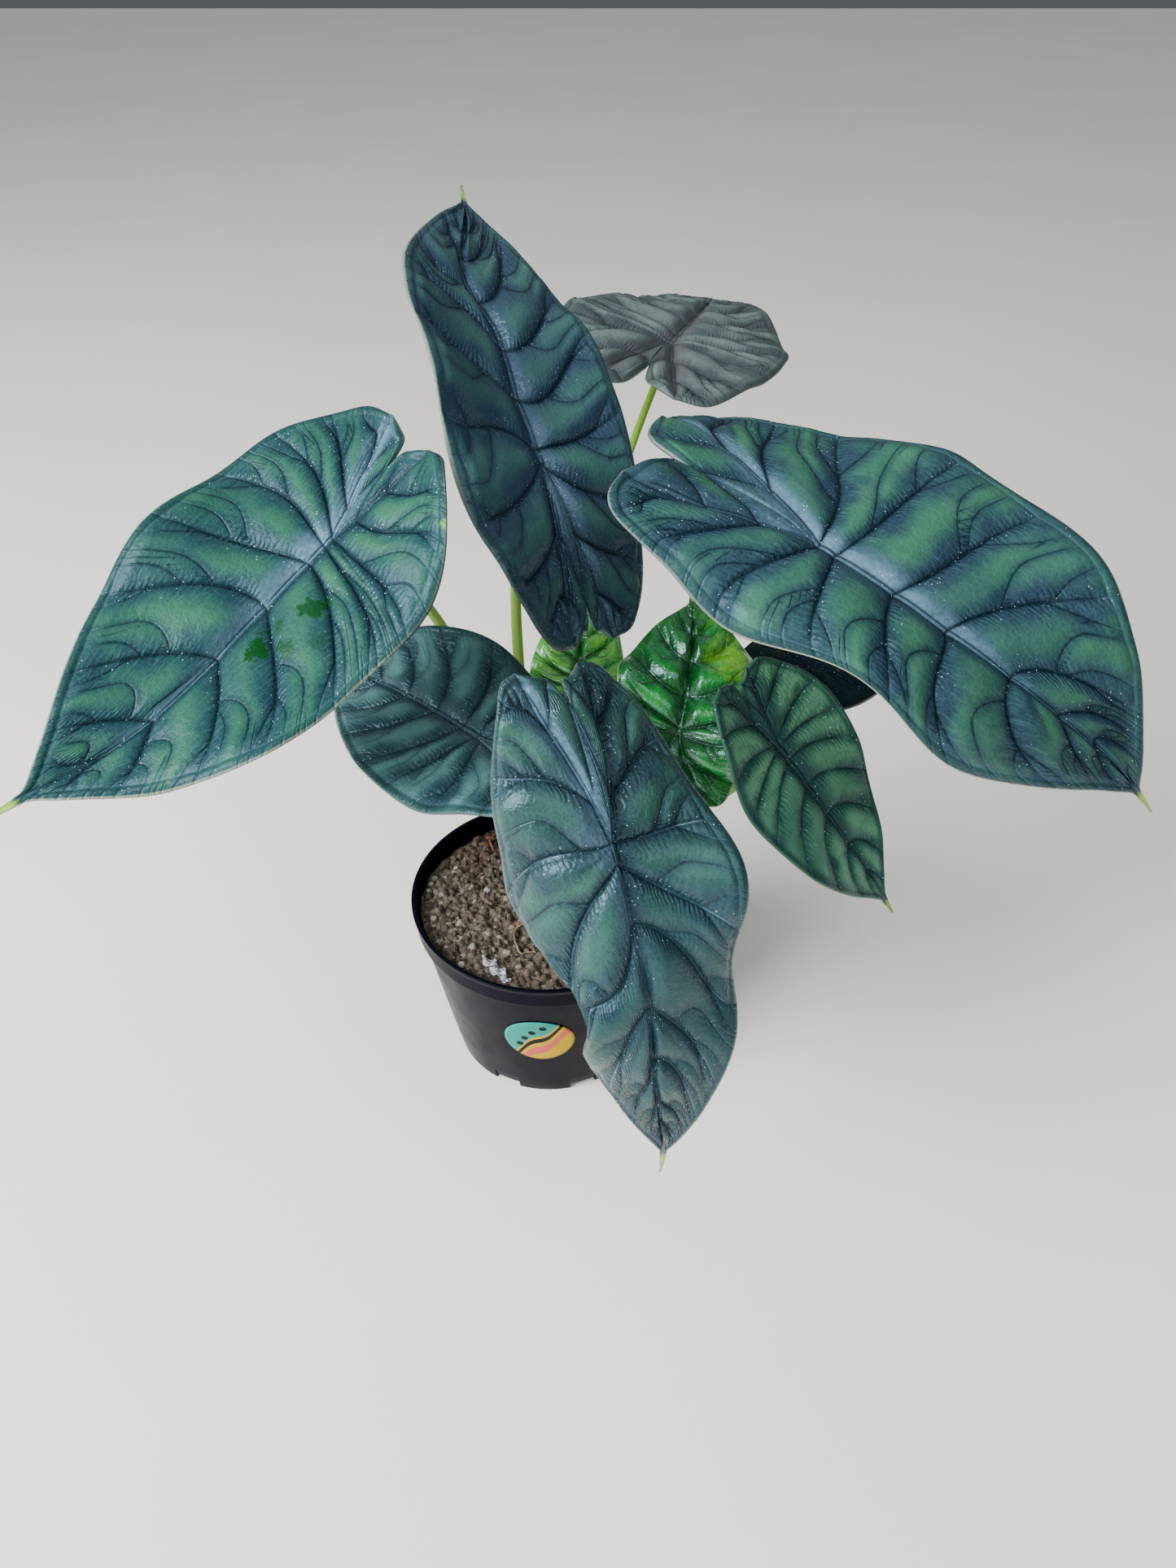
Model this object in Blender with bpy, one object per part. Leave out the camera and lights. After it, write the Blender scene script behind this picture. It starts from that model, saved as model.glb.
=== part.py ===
"""Potted dragon scale alocasia: a nursery pot, its label, soil, a crown, ten leaf stalks and ten blades.

Metres, Z up. The origin is the middle of the pot's foot, and -Y is the side with the label.
A blade is worked out flat first: a runs across it (right is positive, seen from the joint
toward the tip) and b along its midrib, with the joint where the stalk meets it at (0, 0).
It is then bent into place with the angles of its entry in LEAVES, which are in degrees.
"""
import math

import bmesh
import bpy
import numpy as np
from mathutils import Matrix, Vector
from mathutils.bvhtree import BVHTree

GAP = 0.0003

POT_HEIGHT = 0.119
RIM_RADIUS = 0.085
FOOT_RADIUS = 0.0635
WALL = 0.0016
BAND_HEIGHT = 0.0155
BAND_STEP = 0.0018
PLATE_UNDERSIDE = 0.0052
PLATE_TOP = 0.0072
PAD_RADIUS = 0.018
NOTCHES = 8
NOTCH_WIDTH = 0.017
NOTCH_HEIGHT = 0.0047
NOTCH_TURN = -25
DRAIN_RADIUS = 0.0045
SEGMENTS = 48

LABEL_RADIUS = 0.0215
LABEL_HEIGHT = 0.0625
LABEL_TURN = -3.5
LABEL_THICKNESS = 0.0004

SOIL_LEVEL = 0.107
SOIL_MOUND = 0.0035
CRUMB = 0.0009

CROWN_RADIUS = 0.0205
CROWN_RISE = 0.010
CROWN_DEPTH = 0.020
CROWN_SIDES = 20
STALK_RING = 0.0142
STALK_DEPTH = 0.009

BLADE_THICKNESS = 0.0010
RIB_HEIGHT = 0.0013
NECK = 0.004
STALK_STEPS = 12
VEIN_BOW = 0.06
LEAST_ARCH = 1e-4

# Lateral veins 1 to 9 of a half, from the end of its rear lobe to its tip. On the spine 0 is the
# lobe end of its rib, 1 the joint, 2 the tip and 3 the end of the drip tip. On the outer and
# the inner margin a whole number is one of the outline's points. These places hold for a leaf
# that states none of its own, and vein 3 always starts at the joint. On its way out a side vein
# bows off its chord by a share of the way to the next vein: bows are these shares at one third
# and at two thirds of its length. Midrib is how far the midrib runs to the right of the middle
# line, at a fifth, two fifths, three fifths and four fifths of the blade's length.
VEIN = tuple(range(13))
ON_SPINE = (0.33, 0.66, 1.0, 1.02, 1.10, 1.25, 1.43, 1.62, 1.80)
ON_MARGIN = (0.85, 1.7, 2.6, 3.4, 4.1, 4.9, 5.7, 6.6, 7.5)
ON_INNER = (4.0, 2.3, 1.0, 0.0)
BOWS = ((0.0, -0.1, -0.15, -0.1, -0.12, -0.15, -0.2, -0.2, -0.2),
        (0.0, -0.1, -0.15, -0.05, -0.05, -0.1, -0.15, -0.2, -0.2))
SPINE_ENDS = (0.0, 2.0, 2.5, 3.0)
MARGIN_ENDS = (0.0, 9.0, 10.0, 11.0)
LOBE_VEINS = 3
TIP_VEIN = 10
ACROSS = (0.0, 0.12, 0.45, 0.82, 1.0)

LEAVES = {
    "right": dict(
        joint=(0.122, -0.085, 0.400), heading=57, pitch=-18, roll=15, bulge=0.09,
        length=0.195, tip=0.024, widths=(0.083, 0.056), lobes=(0.106, 0.081), sinus=0.064,
        spread=0.64, fullness=1.00, droop=24, hang=4, sweep=-45, twist=-51, fold=(29, -8),
        arch=(5, 82), wave_left=(0.001, -0.003, 0.000, 0.002),
        wave_right=(-0.004, 0.026, -0.004, 0.001),
        on_spine=(0.5, 0.72, 1.0, 1.04, 1.19, 1.33, 1.51, 1.66, 1.81),
        on_margin=((1.25, 1.91, 2.46, 3.63, 4.63, 5.55, 6.67, 7.05, 7.38),
                   (1.1, 1.79, 2.62, 3.51, 4.19, 5.01, 6.33, 6.9, 7.5)),
        bows=(((-0.2, -0.29, 0.13, 0.04, 0.09, -0.06, -0.22, -0.29, -0.5),
               (0.0, -0.14, -0.02, -0.03, -0.0, -0.03, -0.13, -0.45, -0.5)),
              ((-0.26, -0.04, -0.06, -0.04, -0.04, -0.18, -0.34, -0.16, -0.19),
               (-0.13, -0.2, -0.18, -0.09, -0.01, -0.31, -0.36, -0.21, -0.25))),
        stands_at=126, stalk=0.0040, middle=(0.078, 0.036, 0.262), colour=(0.030, 0.085, 0.070)),
    "left": dict(
        joint=(-0.090, -0.051, 0.386), heading=-48, pitch=-34, roll=4, bulge=0.09,
        length=0.173, tip=0.018, widths=(0.067, 0.068), lobes=(0.056, 0.063), sinus=0.042,
        spread=0.27, fullness=1.11, droop=-21, hang=-1, sweep=6, twist=24, fold=(7, 16),
        arch=(9, 0), wave_left=(-0.008, -0.005, -0.001, 0.002),
        wave_right=(0.000, 0.006, -0.002, -0.003),
        on_spine=(0.51, 0.79, 1.0, 1.03, 1.09, 1.25, 1.43, 1.65, 1.8),
        on_margin=((1.48, 2.2, 3.33, 3.74, 4.3, 5.07, 5.78, 6.58, 7.37),
                   (0.75, 1.47, 2.25, 3.15, 4.08, 5.15, 6.18, 6.88, 7.48)),
        bows=(((0.03, 0.07, -0.12, -0.19, -0.16, 0.01, -0.06, -0.03, 0.07),
               (-0.02, -0.12, -0.16, -0.27, -0.07, -0.03, -0.1, -0.03, 0.04)),
              ((-0.35, -0.17, -0.43, -0.41, 0.06, -0.2, -0.15, -0.08, 0.09),
               (-0.1, -0.14, -0.29, -0.28, 0.06, -0.08, -0.14, -0.12, 0.01))),
        midrib=(0.0012, -0.0002, -0.0036, -0.0037),
        stands_at=257, stalk=0.0040, middle=(-0.047, 0.024, 0.276), colour=(0.030, 0.095, 0.065)),
    "upper": dict(
        joint=(0.002, 0.028, 0.387), heading=210, pitch=45, roll=-5, bulge=0.09,
        length=0.189, tip=0.032, widths=(0.061, 0.056), lobes=(0.094, 0.095), sinus=0.074,
        spread=0.22, fullness=1.05, droop=31, hang=19, sweep=29, twist=8, fold=(4, -2),
        arch=(-36, 1), wave_left=(-0.005, 0.007, -0.003, 0.002),
        wave_right=(-0.001, 0.007, 0.001, -0.001),
        on_spine=(0.35, 0.64, 1.0, 1.04, 1.19, 1.35, 1.51, 1.68, 1.85),
        on_margin=((1.02, 1.77, 2.42, 3.39, 4.37, 5.31, 5.96, 6.83, 7.27),
                   (0.9, 1.71, 2.27, 3.39, 4.37, 5.24, 6.58, 7.02, 7.58)),
        bows=(((0.14, -0.17, -0.19, 0.27, 0.27, 0.33, -0.03, -0.04, -0.41),
               (0.07, -0.15, -0.13, 0.08, 0.25, 0.21, -0.33, -0.02, -0.03)),
              ((0.02, -0.1, -0.14, -0.12, -0.18, -0.2, -0.27, -0.5, -0.5),
               (0.01, -0.03, -0.01, -0.06, 0.08, -0.0, -0.14, -0.5, -0.32))),
        midrib=(-0.0010, 0.0000, -0.0108, -0.0032),
        stands_at=205, stalk=0.0040, middle=(-0.015, 0.038, 0.276), colour=(0.022, 0.060, 0.062)),
    "front": dict(
        joint=(0.036, -0.163, 0.302), heading=26, pitch=-60, roll=23, bulge=0.09,
        length=0.194, tip=0.034, widths=(0.047, 0.047), lobes=(0.078, 0.082), sinus=0.061,
        spread=0.41, fullness=1.22, droop=33, hang=22, sweep=-25, twist=-40, fold=(14, -20),
        arch=(-8, 75), wave_left=(0.008, 0.008, -0.004, 0.003),
        wave_right=(-0.016, -0.001, 0.006, -0.003),
        on_spine=(0.42, 0.8, 1.0, 1.05, 1.2, 1.42, 1.59, 1.72, 1.83),
        on_margin=((1.26, 2.19, 3.0, 4.17, 5.08, 6.14, 6.7, 7.08, 7.6),
                   (0.99, 1.92, 3.44, 4.38, 5.05, 6.29, 6.75, 7.33, 7.83)),
        bows=(((0.01, -0.17, -0.0, 0.04, -0.13, -0.13, -0.37, -0.09, -0.2),
               (-0.06, -0.18, -0.04, 0.01, 0.08, -0.16, -0.31, -0.33, -0.24)),
              ((-0.22, -0.19, -0.24, -0.05, 0.3, -0.19, 0.07, 0.08, 0.18),
               (-0.06, -0.1, -0.27, 0.27, 0.0, -0.18, -0.15, -0.07, -0.03))),
        midrib=(-0.0007, -0.0007, 0.0018, 0.0017),
        stands_at=2, stalk=0.0038, middle=(0.012, -0.070, 0.222), colour=(0.026, 0.070, 0.066)),
    "small_right": dict(
        joint=(0.114, -0.088, 0.298), heading=68, pitch=-49, roll=-8, bulge=0.09,
        length=0.108, tip=0.012, widths=(0.042, 0.042), lobes=(0.037, 0.043), sinus=0.028,
        spread=0.30, fullness=1.08, droop=12, hang=-6, sweep=-9, twist=-5, fold=(10, 3),
        arch=(-6, 3), wave_left=(0.003, 0.003, 0.000, -0.001),
        wave_right=(-0.002, -0.004, 0.000, 0.000),
        stands_at=45, stalk=0.0033, middle=(0.067, -0.025, 0.194), colour=(0.030, 0.095, 0.065)),
    "back": dict(
        joint=(0.080, 0.260, 0.370), heading=161, pitch=-2, roll=-10, bulge=0.08,
        length=0.197, tip=0.012, widths=(0.075, 0.075), lobes=(0.098, 0.083), sinus=0.051,
        spread=0.36, fullness=0.87, droop=15, hang=5, sweep=-8, twist=8, fold=(6, 4),
        arch=(12, 8), wave_left=(0.005, 0.002, 0.001, -0.002),
        wave_right=(0.003, -0.005, -0.001, 0.003),
        stands_at=166, stalk=0.0040, middle=(0.024, 0.120, 0.262), colour=(0.050, 0.085, 0.075)),
    "lower_left": dict(
        joint=(-0.027, -0.074, 0.291), heading=-133, pitch=2, roll=4, bulge=0.09,
        length=0.139, tip=0.012, widths=(0.051, 0.051), lobes=(0.069, 0.070), sinus=0.043,
        spread=0.37, fullness=0.90, droop=26, hang=-9, sweep=9, twist=24, fold=(5, 17),
        arch=(18, 9), wave_left=(-0.004, 0.001, -0.001, 0.001),
        wave_right=(-0.012, -0.006, -0.003, 0.000),
        stands_at=309, stalk=0.0035, middle=(-0.018, -0.045, 0.215), colour=(0.018, 0.045, 0.045)),
    "dark": dict(
        joint=(0.154, 0.058, 0.247), heading=128, pitch=2, roll=12, bulge=0.09,
        length=0.105, tip=0.012, widths=(0.046, 0.046), lobes=(0.050, 0.050), sinus=0.035,
        spread=0.42, fullness=0.98, droop=30, hang=5, sweep=0, twist=0, fold=(8, 0),
        arch=(15, 25), wave_left=(0.002, 0.001, 0.000, 0.000),
        wave_right=(-0.002, 0.001, 0.000, 0.000),
        stands_at=87, stalk=0.0033, middle=(0.092, 0.020, 0.192), colour=(0.015, 0.035, 0.035)),
    "bright": dict(
        joint=(0.071, -0.049, 0.275), heading=158, pitch=49, roll=8, bulge=0.14,
        length=0.078, tip=0.012, widths=(0.035, 0.034), lobes=(0.038, 0.034), sinus=0.023,
        spread=0.52, fullness=1.24, droop=31, hang=18, sweep=-30, twist=-13, fold=(24, -5),
        arch=(8, 17), wave_left=(0.001, 0.005, -0.001, -0.003),
        wave_right=(0.003, 0.009, 0.003, -0.003),
        stands_at=90, stalk=0.0026, middle=(0.036, -0.016, 0.198), colour=(0.050, 0.200, 0.025)),
    "bright_small": dict(
        joint=(0.018, 0.035, 0.244), heading=172, pitch=42, roll=0, bulge=0.16,
        length=0.078, tip=0.009, widths=(0.028, 0.027), lobes=(0.035, 0.034), sinus=0.022,
        spread=0.45, fullness=0.95, droop=30, hang=-10, sweep=0, twist=0, fold=(14, 14),
        arch=(20, 20), wave_left=(0.001, 0.001, 0.000, 0.000),
        wave_right=(0.001, -0.001, 0.000, 0.000),
        stands_at=270, stalk=0.0022, middle=(0.002, 0.010, 0.185), colour=(0.080, 0.260, 0.030)),
}
YOUNG = ("bright", "bright_small")
YOUNG_RING = 0.0050


def material(name, colour, roughness, metallic=0.0):
    """A plain Principled BSDF material."""
    made = bpy.data.materials.new(name)
    made.use_nodes = True
    shader = made.node_tree.nodes["Principled BSDF"]
    shader.inputs["Base Color"].default_value = (*colour, 1.0)
    shader.inputs["Roughness"].default_value = roughness
    shader.inputs["Metallic"].default_value = metallic
    return made


def add_object(name, points, faces, paint):
    """A named object from vertices and faces, shaded smooth."""
    mesh = bpy.data.meshes.new(name)
    mesh.from_pydata(np.asarray(points).tolist(), [], np.asarray(faces).tolist())
    mesh.materials.append(paint)
    mesh.shade_smooth()
    made = bpy.data.objects.new(name, mesh)
    bpy.context.scene.collection.objects.link(made)
    return made


def grid_triangles(rows, columns):
    """Two triangles for each cell of a grid whose rows run forward and columns to the right."""
    i, j = np.meshgrid(np.arange(rows - 1), np.arange(columns - 1), indexing="ij")
    low = (i * columns + j).ravel()
    corner, right, ahead, far = low, low + 1, low + columns, low + columns + 1
    return np.vstack([np.stack([corner, right, far], 1), np.stack([corner, far, ahead], 1)])


def weld(keys, triangles):
    """Points with equal keys become one, and triangles that this closes up are left out."""
    _, first, same = np.unique(np.round(keys, 7), axis=0, return_index=True, return_inverse=True)
    triangles = same.ravel()[triangles]
    a, b, c = triangles.T
    return first, triangles[(a != b) & (b != c) & (c != a)]


def sheet_solid(top, bottom, triangles):
    """A closed solid from an upper and a lower face with the same triangles."""
    edges = np.vstack([triangles[:, [0, 1]], triangles[:, [1, 2]], triangles[:, [2, 0]]])
    order = np.sort(edges, axis=1)
    _, where, times = np.unique(order, axis=0, return_inverse=True, return_counts=True)
    start, end = edges[times[where.ravel()] == 1].T
    low = len(top)
    rim = np.vstack([np.stack([end, start, start + low], 1), np.stack([end, start + low, end + low], 1)])
    return np.vstack([top, bottom]), np.vstack([triangles, triangles[:, ::-1] + low, rim])


def lathe(name, profile, segments, paint):
    """A solid of revolution about Z. The profile runs from the axis below to the axis above."""
    turned = bmesh.new()
    corners = [turned.verts.new((radius, 0.0, height)) for radius, height in profile]
    sides = [turned.edges.new(pair) for pair in zip(corners, corners[1:])]
    bmesh.ops.spin(
        turned, geom=corners + sides, cent=(0, 0, 0), axis=(0, 0, 1), angle=2 * math.pi,
        steps=segments, use_merge=True)
    bmesh.ops.remove_doubles(turned, verts=turned.verts, dist=1e-6)
    bmesh.ops.recalc_face_normals(turned, faces=turned.faces)
    mesh = bpy.data.meshes.new(name)
    turned.to_mesh(mesh)
    turned.free()
    mesh.materials.append(paint)
    mesh.shade_smooth()
    mesh.set_sharp_from_angle(angle=math.radians(35))
    made = bpy.data.objects.new(name, mesh)
    bpy.context.scene.collection.objects.link(made)
    return made


def wire_tool(name, cut):
    """The wire object that a Boolean cuts with."""
    mesh = bpy.data.meshes.new(name)
    cut.to_mesh(mesh)
    cut.free()
    made = bpy.data.objects.new(name, mesh)
    made.hide_render = True
    made.display_type = "WIRE"
    bpy.context.scene.collection.objects.link(made)
    return made


def cut_away(target, tool):
    """An exact Boolean difference, left as a modifier."""
    difference = target.modifiers.new("cut", "BOOLEAN")
    difference.operation = "DIFFERENCE"
    difference.object = tool


def direction(heading, distance=1.0, height=0.0):
    """A point round the pot's axis: heading 0 is toward the label and 90 toward +X."""
    turn = math.radians(heading)
    return Vector((distance * math.sin(turn), -distance * math.cos(turn), height))


def pot_outside(height):
    """Outer radius of the pot's body below its rim band."""
    under_band = RIM_RADIUS - BAND_STEP - 0.0022
    return FOOT_RADIUS + (under_band - FOOT_RADIUS) * height / (POT_HEIGHT - BAND_HEIGHT)


def pot_inside(height):
    """Inner radius of the pot, with a wider stretch behind the rim band."""
    return np.interp(
        height, (PLATE_TOP, POT_HEIGHT - BAND_HEIGHT, POT_HEIGHT),
        (pot_outside(PLATE_TOP) - WALL, pot_outside(POT_HEIGHT - BAND_HEIGHT) - WALL,
         RIM_RADIUS - BAND_STEP - WALL * 0.4))


def build_pot():
    """Turned wall with a rim band, a raised plate on a foot ring and a pad, notches and drains."""
    band = POT_HEIGHT - BAND_HEIGHT
    ring = FOOT_RADIUS - 0.0022
    lip = pot_inside(POT_HEIGHT)
    profile = [
        (0, 0), (PAD_RADIUS, 0), (PAD_RADIUS, PLATE_UNDERSIDE), (ring, PLATE_UNDERSIDE), (ring, 0),
        (FOOT_RADIUS - 0.0008, 0), (pot_outside(0.0008), 0.0008), (pot_outside(band), band),
        (RIM_RADIUS - BAND_STEP, band + 0.0008), (RIM_RADIUS - 0.0012, POT_HEIGHT - 0.0026),
        (RIM_RADIUS, POT_HEIGHT - 0.0020), (RIM_RADIUS, POT_HEIGHT - 0.0006),
        (RIM_RADIUS - 0.0006, POT_HEIGHT), (lip + 0.0004, POT_HEIGHT), (lip, POT_HEIGHT - 0.0005),
        (pot_inside(band), band), (pot_inside(PLATE_TOP), PLATE_TOP), (0, PLATE_TOP)]
    pot = lathe("pot", profile, SEGMENTS, material("pot_plastic", (0.008, 0.009, 0.014), 0.45))
    cut = bmesh.new()
    for k in range(NOTCHES):
        turn = Matrix.Rotation(math.radians(NOTCH_TURN + k * 360 / NOTCHES), 4, "Z")
        notch = Matrix.Diagonal((NOTCH_WIDTH, 0.012, 2 * NOTCH_HEIGHT, 1))
        bmesh.ops.create_cube(
            cut, size=1, matrix=turn @ Matrix.Translation((0, -FOOT_RADIUS, 0)) @ notch)
        bmesh.ops.create_cone(
            cut, cap_ends=True, segments=10, radius1=DRAIN_RADIUS, radius2=DRAIN_RADIUS,
            depth=0.005, matrix=turn @ Matrix.Translation((0, -0.047, PLATE_TOP)))
    cut_away(pot, wire_tool("pot_cuts", cut))


def build_label():
    """A thin round label that follows the wall, a hair off it."""
    radius, turn = np.meshgrid(np.linspace(0, LABEL_RADIUS, 4), np.linspace(0, 2 * math.pi, 33),
                               indexing="ij")
    across, up = (radius * np.cos(turn)).ravel(), LABEL_HEIGHT + (radius * np.sin(turn)).ravel()
    wall = pot_outside(up) + GAP
    angle = math.radians(LABEL_TURN) + across / pot_outside(LABEL_HEIGHT)
    faces = [np.stack([r * np.sin(angle), -r * np.cos(angle), up], 1)
             for r in (wall + LABEL_THICKNESS, wall)]
    first, triangles = weld(np.stack([across, up], 1), grid_triangles(4, 33)[:, ::-1])
    points, triangles = sheet_solid(faces[0][first], faces[1][first], triangles)
    add_object("label", points, triangles, material("label_vinyl", (0.75, 0.45, 0.12), 0.4))


def soil_height(x, y):
    """Height of the soil: a mound against the wall at the front left, and soft lumps."""
    mound = SOIL_MOUND * np.clip((-0.6 * x - 0.8 * y) / 0.07, -0.5, 1.0)
    lumps = np.sin(310 * x + 1.0) * np.sin(270 * y + 2.0) + 0.6 * np.sin(520 * x - 410 * y)
    return SOIL_LEVEL + mound + CRUMB * lumps


def build_soil():
    """The packed mix as one solid with a crumbly top, and a plain hole for the crown."""
    turn = np.linspace(0, 2 * math.pi, SEGMENTS + 1)
    rings = np.linspace(0, 1, 11)[::-1]
    chance = np.random.default_rng(7)
    x = np.outer(rings, np.cos(turn)) * (pot_inside(SOIL_LEVEL) - GAP)
    y = np.outer(rings, np.sin(turn)) * (pot_inside(SOIL_LEVEL) - GAP)
    z = soil_height(x, y) + CRUMB * chance.uniform(-1, 1, x.shape)
    z[:, -1] = z[:, 0]
    z[-1] = z[-1, 0]
    rim = pot_inside(z[0]) - GAP
    x[0], y[0] = rim * np.cos(turn), rim * np.sin(turn)
    rows = [(0.0, PLATE_TOP + GAP), (pot_inside(PLATE_TOP) - GAP, PLATE_TOP + GAP),
            (pot_inside(POT_HEIGHT - BAND_HEIGHT) - GAP, POT_HEIGHT - BAND_HEIGHT)]
    wall = [np.stack([r * np.cos(turn), r * np.sin(turn), np.full_like(turn, h)], 1) for r, h in rows]
    points = np.vstack([*wall, np.stack([x, y, z], 2).reshape(-1, 3)])
    columns = SEGMENTS + 1
    triangles = grid_triangles(len(points) // columns, columns)
    first, triangles = weld(points, triangles)
    soil = add_object("soil", points[first], triangles, material("soil", (0.13, 0.095, 0.07), 0.95))
    cut = bmesh.new()
    bmesh.ops.create_cone(
        cut, cap_ends=True, segments=CROWN_SIDES, radius1=CROWN_RADIUS + GAP,
        radius2=CROWN_RADIUS + GAP, depth=2 * CROWN_DEPTH + 2 * GAP,
        matrix=Matrix.Translation((0, 0, SOIL_LEVEL)))
    cut_away(soil, wire_tool("crown_hole", cut))


def stalk_foot(leaf, young):
    """Where a stalk stands in the crown: the young ones in the middle, the rest in a ring."""
    return direction(leaf["stands_at"], YOUNG_RING if young else STALK_RING)


def build_crown():
    """The short stem: ringed with old leaf scars, with a plain hole for each stalk."""
    base = SOIL_LEVEL - CROWN_DEPTH
    top = SOIL_LEVEL + CROWN_RISE
    profile = [(0, base), (CROWN_RADIUS - 0.002, base), (CROWN_RADIUS, base + 0.003),
               (CROWN_RADIUS, SOIL_LEVEL + 0.001)]
    for scar in (0.004, 0.007):
        profile += [(CROWN_RADIUS - 0.0010, SOIL_LEVEL + scar - 0.001),
                    (CROWN_RADIUS - 0.0002, SOIL_LEVEL + scar)]
    profile += [(CROWN_RADIUS - 0.0018, top - 0.0008), (CROWN_RADIUS - 0.004, top), (0, top + 0.001)]
    crown = lathe("crown", profile, CROWN_SIDES, material("crown_bark", (0.16, 0.10, 0.055), 0.8))
    cut = bmesh.new()
    for name, leaf in LEAVES.items():
        foot = stalk_foot(leaf, name in YOUNG)
        foot.z = SOIL_LEVEL - STALK_DEPTH - GAP + 0.015
        bmesh.ops.create_cone(
            cut, cap_ends=True, segments=10, radius1=leaf["stalk"] + 2 * GAP,
            radius2=leaf["stalk"] + 2 * GAP, depth=0.030, matrix=Matrix.Translation(foot))
    cut_away(crown, wire_tool("stalk_holes", cut))


def smooth_curve(points, at):
    """A Catmull-Rom curve through the points, read at their numbers: 0 is the first point."""
    points = np.array(points, float)
    at = np.clip(np.asarray(at, float), 0, len(points) - 1 - 1e-9)
    padded = np.vstack([2 * points[0] - points[1], points, 2 * points[-1] - points[-2]])
    k = at.astype(int)
    t = (at - k)[..., None]
    p0, p1, p2, p3 = (padded[k + step] for step in range(4))
    return 0.5 * (2 * p1 + (p2 - p0) * t + (2 * p0 - 5 * p1 + 4 * p2 - p3) * t ** 2
                  + (3 * p1 - p0 - 3 * p2 + p3) * t ** 3)


def half_outline(leaf, side):
    """Points of one half: the rib of its rear lobe, its outer margin and its inner margin."""
    width, lobe = leaf["widths"][side], leaf["lobes"][side]
    length, full, sinus = leaf["length"], leaf["fullness"], leaf["sinus"]
    end = leaf["spread"] * width
    rib = [(0.93 * end, -0.92 * lobe), (0.74 * end, -0.74 * lobe), (0.34 * end, -0.36 * lobe), (0, 0)]
    outer = [
        (end, -lobe), (min(end + 0.30 * width, 0.90 * width), -0.93 * lobe),
        (0.88 * width, -0.52 * lobe), (width, 0.02 * length), (0.97 * width, 0.25 * length),
        (0.82 * full * width, 0.50 * length), (0.52 * full * width, 0.72 * length),
        (0.20 * full * width, 0.90 * length), (0.03 * width + 0.0015, 0.985 * length),
        (0.0018, length + 0.003), (0.0012, length + 0.5 * leaf["tip"]), (0.0005, length + leaf["tip"])]
    inner = [(0, -sinus), (0.16 * end, -0.62 * lobe - 0.38 * sinus), (0.50 * end, -0.94 * lobe),
             (end, -lobe)]
    return rib, outer, inner


def spine_point(leaf, side, rib, at):
    """The spine: a lobe's rib up to the joint at 1, the midrib to 2 and the drip tip to 3."""
    forward = np.interp(at, (1, 2, 3), (0, leaf["length"], leaf["length"] + leaf["tip"]))
    shifts = np.array((0, *leaf.get("midrib", ()), 0))[:, None]
    aside = smooth_curve(shifts, np.clip(at - 1, 0, 1) * (len(shifts) - 1))[..., 0]
    midrib = np.stack([aside if side else -aside, forward], -1)
    return np.where((at < 1)[..., None], smooth_curve(rib, 3 * np.clip(at, 0, 1)), midrib)


def margin_point(leaf, margin, at):
    """The inner margin from the joint at 0, along the middle line to the notch at 1, and on."""
    middle = np.stack([np.zeros_like(at), -np.clip(at, 0, 1) * leaf["sinus"]], -1)
    return np.where((at < 1)[..., None], middle, smooth_curve(margin, at - 1))


def vein_places(leaf, side):
    """Where the veins from 0 to the last row of the drip tip lie on the spine and the margin."""
    spine = leaf.get("on_spine", ON_SPINE)
    margin = leaf["on_margin"][side] if "on_margin" in leaf else ON_MARGIN
    return ((SPINE_ENDS[0], *spine, *SPINE_ENDS[1:]), (MARGIN_ENDS[0], *margin, *MARGIN_ENDS[1:]))


def bowed(leaf, side, v, q):
    """Where a point at v and at q of the way out lies among the chords: a cubic curve of q."""
    near, far = (np.interp(v, VEIN[:TIP_VEIN + 1], (0, *bow, 0))
                 for bow in leaf.get("bows", (BOWS, BOWS))[side])
    return v + 13.5 * q * (q - 1) * (near * (q - 2 / 3) - far * (q - 1 / 3))


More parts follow.
